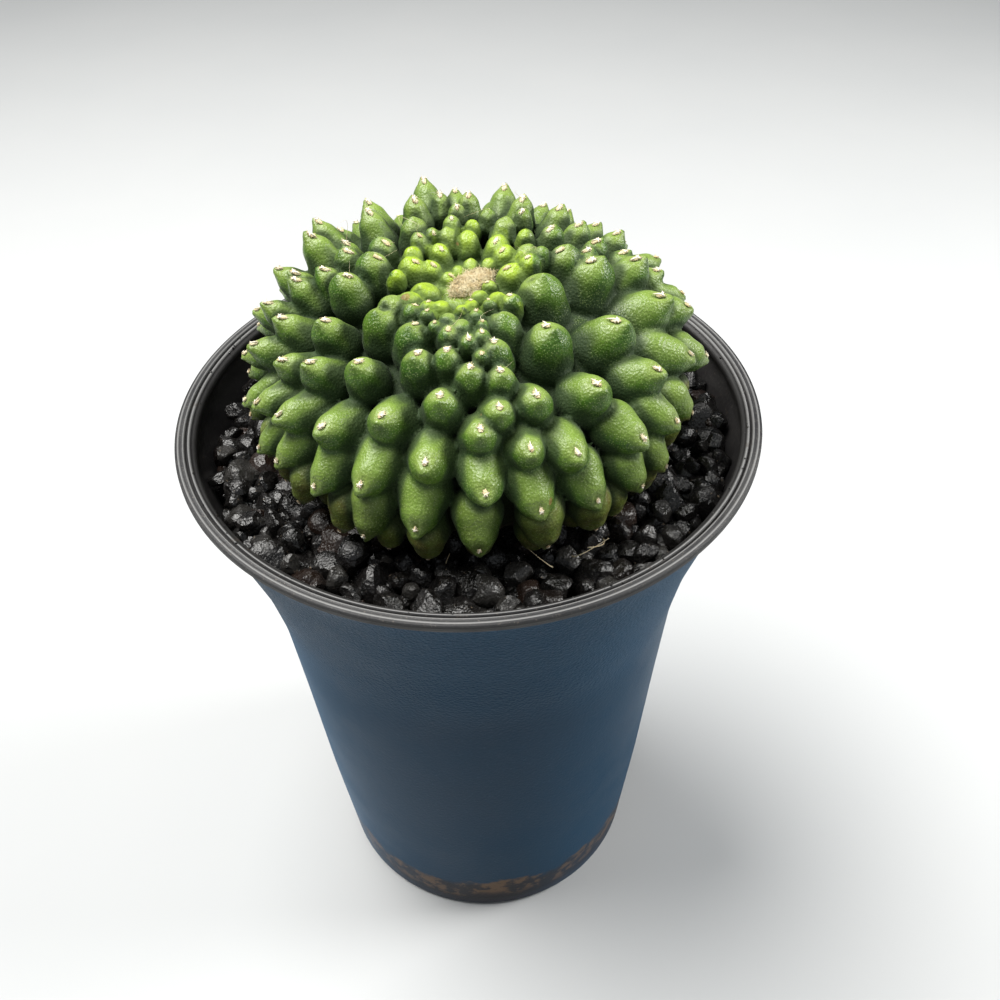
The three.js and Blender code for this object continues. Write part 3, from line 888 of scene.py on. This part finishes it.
def cut_drain_slots(pot):
    parts = []
    for i in range(SLOT_COUNT):
        angle = (i + 0.5) / SLOT_COUNT * 2 * math.pi
        c, s = math.cos(angle), math.sin(angle)
        box = (CORNERS - 0.5) * SLOT_SIZE + [SLOT_RADIUS, 0, (FLOOR_LOW + FLOOR_HIGH) / 2]
        turned = box @ np.array([[c, s, 0], [-s, c, 0], [0, 0, 1]])
        faces = np.array([(0, 1, 3, 2), (4, 6, 7, 5), (0, 4, 5, 1), (2, 3, 7, 6), (0, 2, 6, 4), (1, 5, 7, 3)])
        parts.append((turned, faces))
    cutter = make_object("slot_cutter", *join_meshes(parts), [], smooth=False)
    cut = pot.modifiers.new("drain_slots", "BOOLEAN")
    cut.operation = "DIFFERENCE"
    cut.solver = "EXACT"
    cut.object = cutter
    graph = bpy.context.evaluated_depsgraph_get()
    whole = bpy.data.meshes.new_from_object(pot.evaluated_get(graph))
    pot.modifiers.clear()
    pot.data = whole
    bpy.data.objects.remove(cutter)


# Lava grit

def icosphere(levels):
    """Points and faces of a unit sphere with even triangles."""
    golden = (1 + 5 ** 0.5) / 2
    points = [(-1, golden, 0), (1, golden, 0), (-1, -golden, 0), (1, -golden, 0)]
    points += [(0, -1, golden), (0, 1, golden), (0, -1, -golden), (0, 1, -golden)]
    points += [(golden, 0, -1), (golden, 0, 1), (-golden, 0, -1), (-golden, 0, 1)]
    faces = [(0, 11, 5), (0, 5, 1), (0, 1, 7), (0, 7, 10), (0, 10, 11), (1, 5, 9), (5, 11, 4), (11, 10, 2)]
    faces += [(10, 7, 6), (7, 1, 8), (3, 9, 4), (3, 4, 2), (3, 2, 6), (3, 6, 8), (3, 8, 9), (4, 9, 5)]
    faces += [(2, 4, 11), (6, 2, 10), (8, 6, 7), (9, 8, 1)]
    points = [np.array(p) / np.linalg.norm(p) for p in points]
    for _ in range(levels):
        middle = {}
        split = []
        for face in faces:
            halves = []
            for a, b in ((0, 1), (1, 2), (2, 0)):
                key = tuple(sorted((face[a], face[b])))
                if key not in middle:
                    mid = points[key[0]] + points[key[1]]
                    middle[key] = len(points)
                    points.append(mid / np.linalg.norm(mid))
                halves.append(middle[key])
            ab, bc, ca = halves
            split += [(face[0], ab, ca), (face[1], bc, ab), (face[2], ca, bc), (ab, bc, ca)]
        faces = split
    return np.array(points), np.array(faces)


def random_turn(random):
    q = unit(random.normal(size=4))
    w, x, y, z = q
    return np.array([
        [1 - 2 * (y * y + z * z), 2 * (x * y - z * w), 2 * (x * z + y * w)],
        [2 * (x * y + z * w), 1 - 2 * (x * x + z * z), 2 * (y * z - x * w)],
        [2 * (x * z - y * w), 2 * (y * z + x * w), 1 - 2 * (x * x + y * y)],
    ])


# Flats on a grain of lava, and how crisp the edges between them are
GRAIN_FLATS = 11
GRAIN_CRISPNESS = 40


def grain_shape(random, ball, rough=0.028):
    """A broken chunk: flats with slightly worn edges, stretched and turned at random."""
    normals = unit(random.normal(size=(GRAIN_FLATS, 3)))
    offsets = random.uniform(0.62, 0.96, GRAIN_FLATS)
    facing = np.maximum(ball @ normals.T, 0) / offsets
    reach = (facing ** GRAIN_CRISPNESS).sum(1) ** (1 / GRAIN_CRISPNESS)
    points = ball / np.maximum(reach, 0.92)[:, None]
    waves = random.normal(size=(8, 3)) * random.uniform(2.5, 9.0, (8, 1))
    bump = np.sin(points @ waves.T + random.uniform(0, 6.3, 8)).sum(1) / 8
    points = points * (1 + rough * 2.2 * bump)[:, None]
    points = points * random.uniform(0.78, 1.2, 3)
    return points @ random_turn(random)


def spread_spots(random, gap, inner, outer):
    """Spots on a loose triangular grid over a ring."""
    count = int(outer / gap) + 2
    row, column = np.meshgrid(np.arange(-count, count + 1), np.arange(-count, count + 1), indexing="ij")
    x = (column + 0.5 * (row % 2)) * gap
    y = row * gap * 0.866
    spots = np.stack([x.ravel(), y.ravel()], 1) + random.normal(size=(x.size, 2)) * gap * 0.17
    ring = np.hypot(spots[:, 0], spots[:, 1])
    return spots[(ring > inner) & (ring < outer)]


# Edges of a chip of lava that are sharper than this stay crisp
CHIP_ANGLE = math.radians(16)

GRAIN_RING = (20.5, 40.2)
GAP_TO_STONE = 1.4
# Layers of grit grains: height of their middles, gap between them, mean radius and fineness
GRAIN_LAYERS = (
    ("grit_low_grains", 101.2, 2.9, 1.6, 1),
    ("grit_mid_grains", 102.4, 3.5, 1.8, 2),
    ("grit_top_grains", 104.2, 4.0, 2.0, 2),
)


def stone_places():
    """Middle and half size of each loose stone in the frame, as x, y, z and radius."""
    rows = []
    for name in sorted(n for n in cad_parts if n.startswith("grit_stone_")):
        low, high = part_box(name)
        middle = (np.array(low) + np.array(high)) / 2 / MM
        rows.append((name, middle, (np.array(high) - np.array(low)) / 2 / MM))
    return rows


def make_stones(material):
    random = random_source(83)
    ball, faces = icosphere(3)
    made = []
    for name, middle, halves in stone_places():
        points = grain_shape(random, ball, 0.035)
        size = np.abs(points).max(0)
        points = points / size * halves * 1.05 + middle
        stone = make_object(name.replace("grit_stone", "lava_stone"), points, faces, [material])
        stone.data.set_sharp_from_angle(angle=CHIP_ANGLE)
        set_values(stone, "tone", np.full(len(points), random.uniform(0, 1)))
        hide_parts(name)
        made.append(stone)
    return made


def make_grains(material):
    """Grit grains packed in layers between the plant and the pot's wall."""
    random = random_source(91)
    stones = np.array([middle for _, middle, _ in stone_places()])
    made = []
    for name, level, gap, mean, detail in GRAIN_LAYERS:
        ball, faces = icosphere(detail)
        spots = spread_spots(random, gap, *GRAIN_RING)
        radius = mean * np.exp(random.normal(0, 0.25, len(spots))).clip(0.55, 1.45)
        height = level + random.uniform(-0.7, 0.7, len(spots)) - (radius - mean) * 0.4
        place = np.column_stack([spots, height])
        wall = pot_radius(height) - WALL - 0.75 * radius
        place[:, :2] *= np.minimum(1, wall / np.hypot(*spots.T))[:, None]
        to_stone = np.linalg.norm(place[:, None] - stones[None], axis=2).min(1)
        open_spot = (flesh_distance(place, pits=False) > -0.3 * radius) & (to_stone > GAP_TO_STONE)
        parts, tones = [], []
        for spot, size in zip(place[open_spot], radius[open_spot]):
            points = grain_shape(random, ball) * size * 1.05 + spot
            reach = np.hypot(points[:, 0], points[:, 1])
            limit = pot_radius(points[:, 2]) - WALL - 0.05
            points[:, :2] *= np.minimum(1, limit / reach)[:, None]
            parts.append((points, faces))
            tones += [random.uniform(0, 1)] * len(points)
        grains = make_object(name, *join_meshes(parts), [material])
        grains.data.set_sharp_from_angle(angle=CHIP_ANGLE)
        set_values(grains, "tone", tones)
        made.append(grains)
    return made


# Ring of crumbs under the grains: inner and outer radius, top and bottom
FINES_REACH = (16, 39.6)
FINES_TOP = 101.2
FINES_BOTTOM = 100.2


def make_fines(material):
    """Crumbs and dust between the grains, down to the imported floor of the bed."""
    segments, rings = 220, 40
    random = random_source(97)
    angle = np.arange(segments) / segments * 2 * math.pi
    radius = np.linspace(*FINES_REACH, rings)
    x = radius[:, None] * np.cos(angle)
    y = radius[:, None] * np.sin(angle)
    height = np.full(x.shape, FINES_TOP)
    for _ in range(26):
        wave = random.normal(size=2) * random.uniform(0.5, 2.4)
        height = height + 0.14 * np.sin(x * wave[0] + y * wave[1] + random.uniform(0, 6.3))
    top = np.stack([x, y, height], -1).reshape(-1, 3)
    bottom = top.copy()
    bottom[:, 2] = FINES_BOTTOM
    count = len(top)
    faces = []
    for row in range(rings - 1):
        quads = ring_quads(row, segments)
        faces += [quads[:, [0, 3, 2, 1]], quads + count]
    for row in (0, rings - 1):
        a, b = ring_quads(row, segments)[:, :2].T
        edge = np.stack([a, b, b + count, a + count], 1)
        faces.append(edge if row == 0 else edge[:, ::-1])
    fines = make_object("grit_fines", np.concatenate([top, bottom]), np.concatenate(faces), [material])
    set_values(fines, "tone", np.full(2 * count, 0.5))
    return fines


# Radius and height along the rim's inner ledge
RIM_LEDGE = ((42.08, 109.35), (42.35, 109.62), (42.7, 109.92), (43.0, 110.13), (43.3, 109.7))
CRUMBS = 240
CRUMBS_ON_RIM = 80
CRUMB_SIZES = (0.12, 0.34)
RIM_CRUMB_RING = (42.2, 43.3)
BED_CRUMB_RING = (28, 40.5)
BED_CRUMB_LEVELS = (103.4, 105.2)


def make_crumbs(material):
    """Tiny crumbs caught on the rim's inner slope and among the grains."""
    random = random_source(103)
    ball, faces = icosphere(1)
    parts, tones = [], []
    for i in range(CRUMBS):
        angle = random.uniform(0, 2 * math.pi)
        size = random.uniform(*CRUMB_SIZES)
        if i < CRUMBS_ON_RIM:
            ring = random.uniform(*RIM_CRUMB_RING)
            height = np.interp(ring, *zip(*RIM_LEDGE))
            size *= 0.6
        else:
            ring = math.sqrt(random.uniform(*(radius ** 2 for radius in BED_CRUMB_RING)))
            height = random.uniform(*BED_CRUMB_LEVELS)
        spot = np.array([ring * math.cos(angle), ring * math.sin(angle), height + size * 0.5])
        parts.append((grain_shape(random, ball) * size + spot, faces))
        tones += [random.uniform(0, 1)] * len(ball)
    crumbs = make_object("grit_crumbs", *join_meshes(parts), [material])
    set_values(crumbs, "tone", tones)
    return crumbs


# Material tools

def put(tree, kind, settings=None, **links):
    """Adds a node. settings are its properties; links are its inputs by name, values or sockets."""
    node = tree.nodes.new(kind)
    for key, value in (settings or {}).items():
        setattr(node, key, value)
    for key, value in links.items():
        connect(tree, node.inputs[key.replace("_", " ")], value)
    return node


def connect(tree, socket, value):
    if isinstance(value, bpy.types.NodeSocket):
        tree.links.new(value, socket)
    else:
        socket.default_value = value


def blend_colors(tree, factor, first, second, mode="MIX"):
    node = tree.nodes.new("ShaderNodeMix")
    node.data_type = "RGBA"
    node.blend_type = mode
    connect(tree, node.inputs[0], factor)
    connect(tree, node.inputs[6], first)
    connect(tree, node.inputs[7], second)
    return node.outputs[2]


def calculate(tree, operation, first, second=0.0):
    node = tree.nodes.new("ShaderNodeMath")
    node.operation = operation
    connect(tree, node.inputs[0], first)
    connect(tree, node.inputs[1], second)
    return node.outputs[0]


def ramp(tree, value, low, high, start=0.0, end=1.0):
    node = put(tree, "ShaderNodeMapRange", {"interpolation_type": "SMOOTHSTEP"}, Value=value)
    for name, number in (("From Min", low), ("From Max", high), ("To Min", start), ("To Max", end)):
        connect(tree, node.inputs[name], number)
    return node.outputs["Result"]


def stored(tree, name):
    return put(tree, "ShaderNodeAttribute", {"attribute_name": name}).outputs["Fac"]


def object_place(tree):
    return put(tree, "ShaderNodeTexCoord").outputs["Object"]


def noise(tree, place, per_metre, detail=4.0, roughness=0.55):
    node = put(tree, "ShaderNodeTexNoise", Vector=place, Scale=per_metre, Detail=detail, Roughness=roughness)
    return node.outputs["Fac"]


def cell_distance(tree, place, per_metre):
    cells = put(tree, "ShaderNodeTexVoronoi", {"feature": "F1"}, Vector=place, Scale=per_metre)
    return cells.outputs["Distance"]


def color(red, green, blue):
    return (red, green, blue, 1.0)


def new_group(name, inputs, outputs):
    """An empty shader group with float, color or vector sockets, given as (name, kind, default)."""
    tree = bpy.data.node_groups.new(name, "ShaderNodeTree")
    kinds = {"float": "NodeSocketFloat", "color": "NodeSocketColor", "vector": "NodeSocketVector"}
    for label, kind, default in inputs:
        socket = tree.interface.new_socket(label, in_out="INPUT", socket_type=kinds[kind])
        if default is not None:
            socket.default_value = default
    for label, kind in outputs:
        tree.interface.new_socket(label, in_out="OUTPUT", socket_type=kinds[kind])
    return tree, tree.nodes.new("NodeGroupInput"), tree.nodes.new("NodeGroupOutput")


def use_group(tree, group, **links):
    node = tree.nodes.new("ShaderNodeGroup")
    node.node_tree = group
    for key, value in links.items():
        connect(tree, node.inputs[key.replace("_", " ")], value)
    return node


def mottle_group():
    """Soft patches of two colours with finer flecks of a third."""
    tree, given, result = new_group(
        "mottle",
        [("Place", "vector", None), ("Patch Scale", "float", 200.0), ("Fleck Scale", "float", 2000.0),
         ("First", "color", color(0.1, 0.1, 0.1)), ("Second", "color", color(0.2, 0.2, 0.2)),
         ("Fleck", "color", color(0.4, 0.4, 0.4)), ("Fleck Amount", "float", 0.3)],
        [("Color", "color"), ("Patches", "float"), ("Flecks", "float")],
    )
    patches = noise(tree, given.outputs["Place"], given.outputs["Patch Scale"], 5.0, 0.6)
    patches = ramp(tree, patches, 0.3, 0.7)
    flecks = noise(tree, given.outputs["Place"], given.outputs["Fleck Scale"], 2.0, 0.5)
    flecks = ramp(tree, flecks, 0.58, 0.74)
    base = blend_colors(tree, patches, given.outputs["First"], given.outputs["Second"])
    strength = calculate(tree, "MULTIPLY", flecks, given.outputs["Fleck Amount"])
    connect(tree, result.inputs["Color"], blend_colors(tree, strength, base, given.outputs["Fleck"]))
    connect(tree, result.inputs["Patches"], patches)
    connect(tree, result.inputs["Flecks"], flecks)
    return tree


def pebble_skin_group():
    """Height of small cells and pores, for bump."""
    tree, given, result = new_group(
        "pebbled_surface",
        [("Place", "vector", None), ("Cell Scale", "float", 2000.0), ("Grain Scale", "float", 6000.0),
         ("Grain Share", "float", 0.5)],
        [("Height", "float")],
    )
    cells = cell_distance(tree, given.outputs["Place"], given.outputs["Cell Scale"])
    grain = noise(tree, given.outputs["Place"], given.outputs["Grain Scale"], 3.0, 0.6)
    grain = calculate(tree, "MULTIPLY", grain, given.outputs["Grain Share"])
    connect(tree, result.inputs["Height"], calculate(tree, "ADD", cells, grain))
    return tree


MOTTLE = mottle_group()
PEBBLED = pebble_skin_group()


def new_material(name):
    """A material, its node tree and the place of each point, for the patterns to follow."""
    material = bpy.data.materials.new(name)
    material.use_nodes = True
    return material, material.node_tree, object_place(material.node_tree)


def mottled(tree, place, patch_scale, fleck_scale, first, second, fleck, amount):
    """Outputs of the mottle group: Color, Patches and Flecks."""
    return use_group(tree, MOTTLE, Place=place, Patch_Scale=patch_scale, Fleck_Scale=fleck_scale,
                     First=color(*first), Second=color(*second), Fleck=color(*fleck),
                     Fleck_Amount=amount).outputs


def pebbled(tree, place, cell_scale, grain_scale, grain_share):
    """Height output of the pebbled surface group."""
    return use_group(tree, PEBBLED, Place=place, Cell_Scale=cell_scale, Grain_Scale=grain_scale,
                     Grain_Share=grain_share).outputs["Height"]


def layered(tree, paint, *layers):
    """Lays colors over the paint in turn, each given as the mask it shows through and the color."""
    for mask, over in layers:
        paint = blend_colors(tree, mask, paint, over)
    return paint


def height_of(tree, place):
    return put(tree, "ShaderNodeSeparateXYZ", Vector=place).outputs["Z"]


def finish_material(material, **inputs):
    """Sets or links the shader's own inputs by name."""
    tree = material.node_tree
    shader = next(n for n in tree.nodes if n.type == "BSDF_PRINCIPLED")
    for name, value in inputs.items():
        connect(tree, shader.inputs[name.replace("_", " ")], value)
    return material


def bump(tree, height, depth_mm, strength=1.0, normal=None):
    node = put(tree, "ShaderNodeBump", Height=height, Distance=depth_mm * MM, Strength=strength)
    if normal is not None:
        connect(tree, node.inputs["Normal"], normal)
    return node.outputs["Normal"]


def cactus_skin():
    material, tree, place = new_material("living_green_skin")
    mottle = mottled(tree, place, 260.0, 3800.0, (0.028, 0.083, 0.004), (0.066, 0.155, 0.010),
                     (0.27, 0.38, 0.10), 0.40)
    rusty = noise(tree, place, 420.0, 4.0, 0.6)
    aged = blend_colors(tree, ramp(tree, rusty, 0.4, 0.7), color(0.125, 0.150, 0.022),
                        color(0.125, 0.085, 0.022))
    cork = blend_colors(tree, ramp(tree, rusty, 0.35, 0.65), color(0.105, 0.082, 0.040),
                        color(0.050, 0.034, 0.016))
    bark = stored(tree, "bark")
    young = stored(tree, "young")
    # painted shade: dark green where the flesh closes in round a point
    crevice_shade = ramp(tree, stored(tree, "crevice_shade"), 0.12, 0.75, 0.0, 0.84)
    shade = blend_colors(tree, young, color(0.010, 0.030, 0.003), color(0.080, 0.140, 0.008))
    paint = layered(
        tree, mottle["Color"],
        (ramp(tree, stored(tree, "tone"), 0.2, 1.2, 0.0, 0.5), color(0.105, 0.195, 0.012)),
        # painted highlight: paler yellow-green on the upward-facing sides
        (ramp(tree, stored(tree, "upper_side_highlight"), 0.35, 1.0, 0.0, 0.62), color(0.235, 0.345, 0.062)),
        # painted shade: near-black green sunk between the tubercles
        (ramp(tree, stored(tree, "groove_shade"), 0.0, 1.0, 0.0, 0.86), color(0.010, 0.030, 0.004)),
        (ramp(tree, stored(tree, "foot"), 0.0, 1.0, 0.0, 0.8), aged),
        (bark, cork),
        (calculate(tree, "MULTIPLY", stored(tree, "chin"), 0.35), color(0.30, 0.38, 0.10)),
        (ramp(tree, cell_distance(tree, place, 3700.0), 0.38, 0.13, 0.0, 0.58), color(0.40, 0.50, 0.19)),
        (ramp(tree, young, 0.1, 1.0, 0.0, 0.85), color(0.36, 0.52, 0.022)),
        (crevice_shade, shade),
        (ramp(tree, noise(tree, place, 330.0, 2.0, 0.4), 0.775, 0.80, 0.0, 0.7), color(0.26, 0.15, 0.05)),
    )
    rough = ramp(tree, mottle["Flecks"], 0.0, 1.0, 0.32, 0.48)
    dull = calculate(tree, "MULTIPLY", calculate(tree, "MAXIMUM", crevice_shade, bark), 0.5)
    fine = bump(tree, pebbled(tree, place, 2600.0, 7000.0, 0.5), 0.09, 0.9)
    broad = bump(tree, noise(tree, place, 420.0, 3.0, 0.5), 0.14, 0.5, fine)
    return finish_material(material, Base_Color=paint, Roughness=calculate(tree, "ADD", rough, dull),
                           Normal=broad, Specular_IOR_Level=0.52, Sheen_Weight=0.02, Sheen_Roughness=0.45)


def wool_felt():
    material, tree, place = new_material("cream_wool")
    mottle = mottled(tree, place, 700.0, 2600.0, (0.62, 0.49, 0.26), (0.84, 0.76, 0.53),
                     (0.50, 0.28, 0.11), 0.38)
    old = ramp(tree, stored(tree, "age"), 0.0, 1.0, 0.0, 0.75)
    return finish_material(
        material, Base_Color=blend_colors(tree, old, mottle["Color"], color(0.36, 0.20, 0.08)),
        Roughness=ramp(tree, mottle["Patches"], 0, 1, 0.95, 0.8), Sheen_Weight=0.25,
    )


def spine_horn():
    material, tree, place = new_material("spine_horn")
    streak = noise(tree, place, 2200.0, 2.0, 0.5)
    pale = blend_colors(tree, ramp(tree, streak, 0.35, 0.7), color(0.80, 0.72, 0.55), color(0.92, 0.88, 0.78))
    tips = ramp(tree, stored(tree, "along"), 0.35, 1.0, 0.0, 0.7)
    tips = calculate(tree, "MULTIPLY", tips, stored(tree, "tone"))
    return finish_material(material, Base_Color=blend_colors(tree, tips, pale, color(0.40, 0.22, 0.09)),
                           Roughness=ramp(tree, streak, 0.3, 0.7, 0.42, 0.6))


def pot_outside():
    material, tree, place = new_material("slate_blue_plastic")
    mottle = mottled(tree, place, 26.0, 2400.0, (0.008, 0.029, 0.056), (0.011, 0.037, 0.069),
                     (0.050, 0.100, 0.155), 0.16)
    height = height_of(tree, place)
    stipple = pebbled(tree, place, 1900.0, 4200.0, 1.1)
    fade = ramp(tree, height, 0.066, 0.107, 0.07, 1.0)
    pores = calculate(tree, "MULTIPLY", ramp(tree, stipple, 0.74, 0.52, 0.0, 0.9), fade)
    wave = calculate(tree, "MULTIPLY", noise(tree, place, 110.0, 4.0, 0.6), -0.0100)
    over_tide = calculate(tree, "ADD", calculate(tree, "ADD", height, wave), -0.0070)
    crust = calculate(tree, "MULTIPLY", ramp(tree, over_tide, 0.0008, -0.0010),
                      ramp(tree, over_tide, -0.0090, -0.0050))
    patches = ramp(tree, noise(tree, place, 300.0, 5.0, 0.65), 0.44, 0.60, 0.0, 0.92)
    scuff = ramp(tree, noise(tree, place, 900.0, 6.0, 0.75), 0.70, 0.80, 0.0, 0.3)
    paint = layered(
        tree, mottle["Color"],
        # painted light: paler blue growing up the wall towards the rim
        (ramp(tree, height, 0.070, 0.108, 0.0, 0.45), color(0.034, 0.084, 0.140)),
        (pores, color(0.006, 0.013, 0.022)),
        (ramp(tree, over_tide, 0.0010, -0.0022, 0.0, 0.94), color(0.032, 0.021, 0.013)),
        (calculate(tree, "MULTIPLY", crust, patches), color(0.150, 0.086, 0.038)),
        (scuff, color(0.11, 0.15, 0.19)),
    )
    return finish_material(
        material, Base_Color=paint, Roughness=ramp(tree, mottle["Patches"], 0, 1, 0.40, 0.52),
        Normal=bump(tree, calculate(tree, "MULTIPLY", stipple, fade), 0.28, 0.9),
        Specular_IOR_Level=0.07, Sheen_Weight=0.16, Sheen_Roughness=0.4, Sheen_Tint=color(0.10, 0.36, 0.70),
    )


def ring_place(tree, place):
    """Radius, and a place made of radius and height only, so a pattern runs in rings round the pot."""
    split = put(tree, "ShaderNodeSeparateXYZ", Vector=place)
    flat = put(tree, "ShaderNodeCombineXYZ", X=split.outputs["X"], Y=split.outputs["Y"]).outputs["Vector"]
    radius = put(tree, "ShaderNodeVectorMath", {"operation": "LENGTH"}, Vector=flat).outputs["Value"]
    return radius, put(tree, "ShaderNodeCombineXYZ", X=radius, Z=split.outputs["Z"]).outputs["Vector"]


# Turned grooves on the rim, one each 0.75 mm of radius
RIM_GROOVES = 2 * math.pi / 0.00075


def pot_rim():
    material, tree, place = new_material("charcoal_rim_plastic")
    mottle = mottled(tree, place, 70.0, 3000.0, (0.014, 0.014, 0.016), (0.030, 0.030, 0.031),
                     (0.20, 0.17, 0.14), 0.4)
    radius, around = ring_place(tree, place)
    grooves = calculate(tree, "SINE", calculate(tree, "MULTIPLY", radius, RIM_GROOVES))
    worn = calculate(tree, "MULTIPLY", noise(tree, around, 1900.0, 4.0, 0.75), 2.0)
    rings = calculate(tree, "ADD", calculate(tree, "MULTIPLY", grooves, 0.45), worn)
    dirt = ramp(tree, noise(tree, place, 260.0, 6.0, 0.72), 0.60, 0.72, 0.0, 0.6)
    paint = layered(
        tree, mottle["Color"],
        (ramp(tree, rings, 0.85, 1.3, 0.0, 0.85), color(0.23, 0.229, 0.228)),
        # painted shade: near-black on the rim below its top, over the outer face and the inner slope
        (ramp(tree, height_of(tree, place), 0.11012, 0.10975, 0.0, 0.92), color(0.012, 0.011, 0.011)),
        (dirt, color(0.055, 0.040, 0.028)),
    )
    lines = bump(tree, rings, 0.10, 0.8)
    return finish_material(
        material, Base_Color=paint, Roughness=ramp(tree, mottle["Patches"], 0, 1, 0.42, 0.6),
        Normal=bump(tree, noise(tree, place, 1300.0, 5.0, 0.7), 0.10, 0.5, lines),
    )


def pot_inside():
    material, tree, place = new_material("black_inner_plastic")
    mottle = mottled(tree, place, 60.0, 1800.0, (0.018, 0.017, 0.018), (0.034, 0.032, 0.032),
                     (0.12, 0.10, 0.085), 0.22)
    splash = ramp(tree, height_of(tree, place), 0.1085, 0.1040, 0.0, 0.5)
    spots = ramp(tree, noise(tree, place, 640.0, 6.0, 0.75), 0.62, 0.70)
    dust = calculate(tree, "MULTIPLY", splash, spots)
    return finish_material(
        material, Base_Color=blend_colors(tree, dust, mottle["Color"], color(0.11, 0.09, 0.07)),
        Roughness=ramp(tree, mottle["Patches"], 0, 1, 0.36, 0.55),
        Normal=bump(tree, pebbled(tree, place, 1200.0, 4200.0, 0.8), 0.06, 0.6),
    )


def lava():
    material, tree, place = new_material("black_lava")
    mottle = mottled(tree, place, 900.0, 2600.0, (0.003, 0.0028, 0.0027), (0.009, 0.0080, 0.0075),
                     (0.13, 0.12, 0.11), 0.16)
    tone = stored(tree, "tone")
    tan_bits = ramp(tree, noise(tree, place, 1500.0, 3.0, 0.5), 0.69, 0.75, 0.0, 0.55)
    paint = layered(
        tree, mottle["Color"],
        (ramp(tree, tone, 0.78, 0.97, 0.0, 0.4), color(0.040, 0.021, 0.014)),
        (ramp(tree, tone, 0.25, 0.02, 0.0, 0.34), color(0.060, 0.057, 0.052)),
        (tan_bits, color(0.26, 0.20, 0.14)),
    )
    facets = bump(tree, cell_distance(tree, place, 1900.0), 0.06, 0.8)
    return finish_material(
        material, Base_Color=paint, Roughness=ramp(tree, mottle["Patches"], 0, 1, 0.12, 0.34),
        Normal=bump(tree, pebbled(tree, place, 2600.0, 5200.0, 0.9), 0.08, 0.8, facets),
        Specular_IOR_Level=0.55,
    )


def bark_mix():
    material, tree, place = new_material("potting_mix_crumb")
    mottle = mottled(tree, place, 500.0, 700.0, (0.030, 0.019, 0.012), (0.085, 0.055, 0.034),
                     (0.55, 0.50, 0.43), 0.6)
    return finish_material(
        material, Base_Color=mottle["Color"], Roughness=ramp(tree, mottle["Patches"], 0, 1, 0.8, 0.98),
        Normal=bump(tree, pebbled(tree, place, 700.0, 2600.0, 0.8), 0.7, 1.0),
    )


def floor_paint():
    material, tree, place = new_material("pale_floor")
    soft = noise(tree, place, 14.0, 4.0, 0.5)
    paint = blend_colors(tree, soft, color(0.56, 0.575, 0.585), color(0.60, 0.61, 0.615))
    return finish_material(material, Base_Color=paint, Roughness=0.75)


# Build

def finish_piece(piece, slot, *nodes):
    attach(piece, "root")
    if nodes:
        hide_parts(*nodes)
    return piece


def build_object():
    skin, wool, horn, grit = cactus_skin(), wool_felt(), spine_horn(), lava()
    finish_piece(make_plant(skin), "cactus_skin", "cactus_body")
    for make in (make_areole_wool, make_crown_wool, make_stray_hairs, make_rootlets):
        finish_piece(make(wool), "areole_wool")
    finish_piece(make_spines(horn), "spines")
    finish_piece(make_pot(pot_outside(), pot_rim(), pot_inside()), "pot_plastic", "pot")
    for piece in make_stones(grit) + make_grains(grit):
        finish_piece(piece, "lava_grit")
    finish_piece(make_fines(grit), "lava_grit", "grit_bed")
    finish_piece(make_crumbs(grit), "lava_grit")
    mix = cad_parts["potting_mix"]
    mix.data.materials.clear()
    mix.data.materials.append(bark_mix())


# Stage

def add_area_light(name, place, size, watts, tint):
    lamp = bpy.data.lights.new(name, "AREA")
    lamp.shape = "DISK"
    lamp.size = size
    lamp.energy = watts
    lamp.color = tint
    holder = bpy.data.objects.new(name, lamp)
    bpy.context.scene.collection.objects.link(holder)
    direction = (np.array(place) - np.array(LIGHT_AIM)).astype(float)
    yaw = math.atan2(direction[0], -direction[1])
    tilt = math.atan2(math.hypot(direction[0], direction[1]), direction[2])
    holder.location = place
    holder.rotation_euler = Euler((tilt, 0, yaw))


FLOOR_HALF = 1500.0
LIGHT_AIM = (0, 0, 0.11)
# Name, place in metres, size in metres, watts and tint
LIGHTS = (
    ("window", (-0.24, 0.10, 0.68), 0.55, 8.6, (1.0, 0.985, 0.95)),
    ("right_glow", (0.50, 0.06, 0.40), 0.25, 3.0, (1.0, 0.99, 0.96)),
    ("sky_fill", (0.10, -0.5, 0.55), 0.7, 0.50, (0.92, 0.96, 1.0)),
)
SKY_TINT = (0.80, 0.88, 0.98)
SKY_STRENGTH = 0.11


def build_stage():
    corners = FLOOR_HALF * np.array([[-1, -1, 0], [1, -1, 0], [1, 1, 0], [-1, 1, 0]])
    make_object("floor", corners, np.array([[0, 1, 2, 3]]), [floor_paint()], smooth=False)
    for light in LIGHTS:
        add_area_light(*light)
    world = bpy.data.worlds.new("soft_daylight")
    world.use_nodes = True
    back = next(n for n in world.node_tree.nodes if n.type == "BACKGROUND")
    back.inputs["Color"].default_value = color(*SKY_TINT)
    back.inputs["Strength"].default_value = SKY_STRENGTH
    bpy.context.scene.world = world
    bpy.context.scene.view_settings.view_transform = "Standard"


def add_camera():
    lens = bpy.data.cameras.new("camera")
    lens.lens = CAMERA_LENS
    lens.sensor_width = CAMERA_SENSOR
    lens.clip_start, lens.clip_end = CAMERA_CLIP
    camera = bpy.data.objects.new("camera", lens)
    bpy.context.scene.collection.objects.link(camera)
    turn = Euler((math.pi / 2 - CAMERA_PITCH, 0, 0)).to_matrix() @ Matrix.Rotation(CAMERA_ROLL, 3, "Z")
    camera.rotation_euler = turn.to_euler()
    camera.location = [value * MM for value in CAMERA_PLACE]
    bpy.context.scene.camera = camera


add_camera()
build_stage()
build_object()
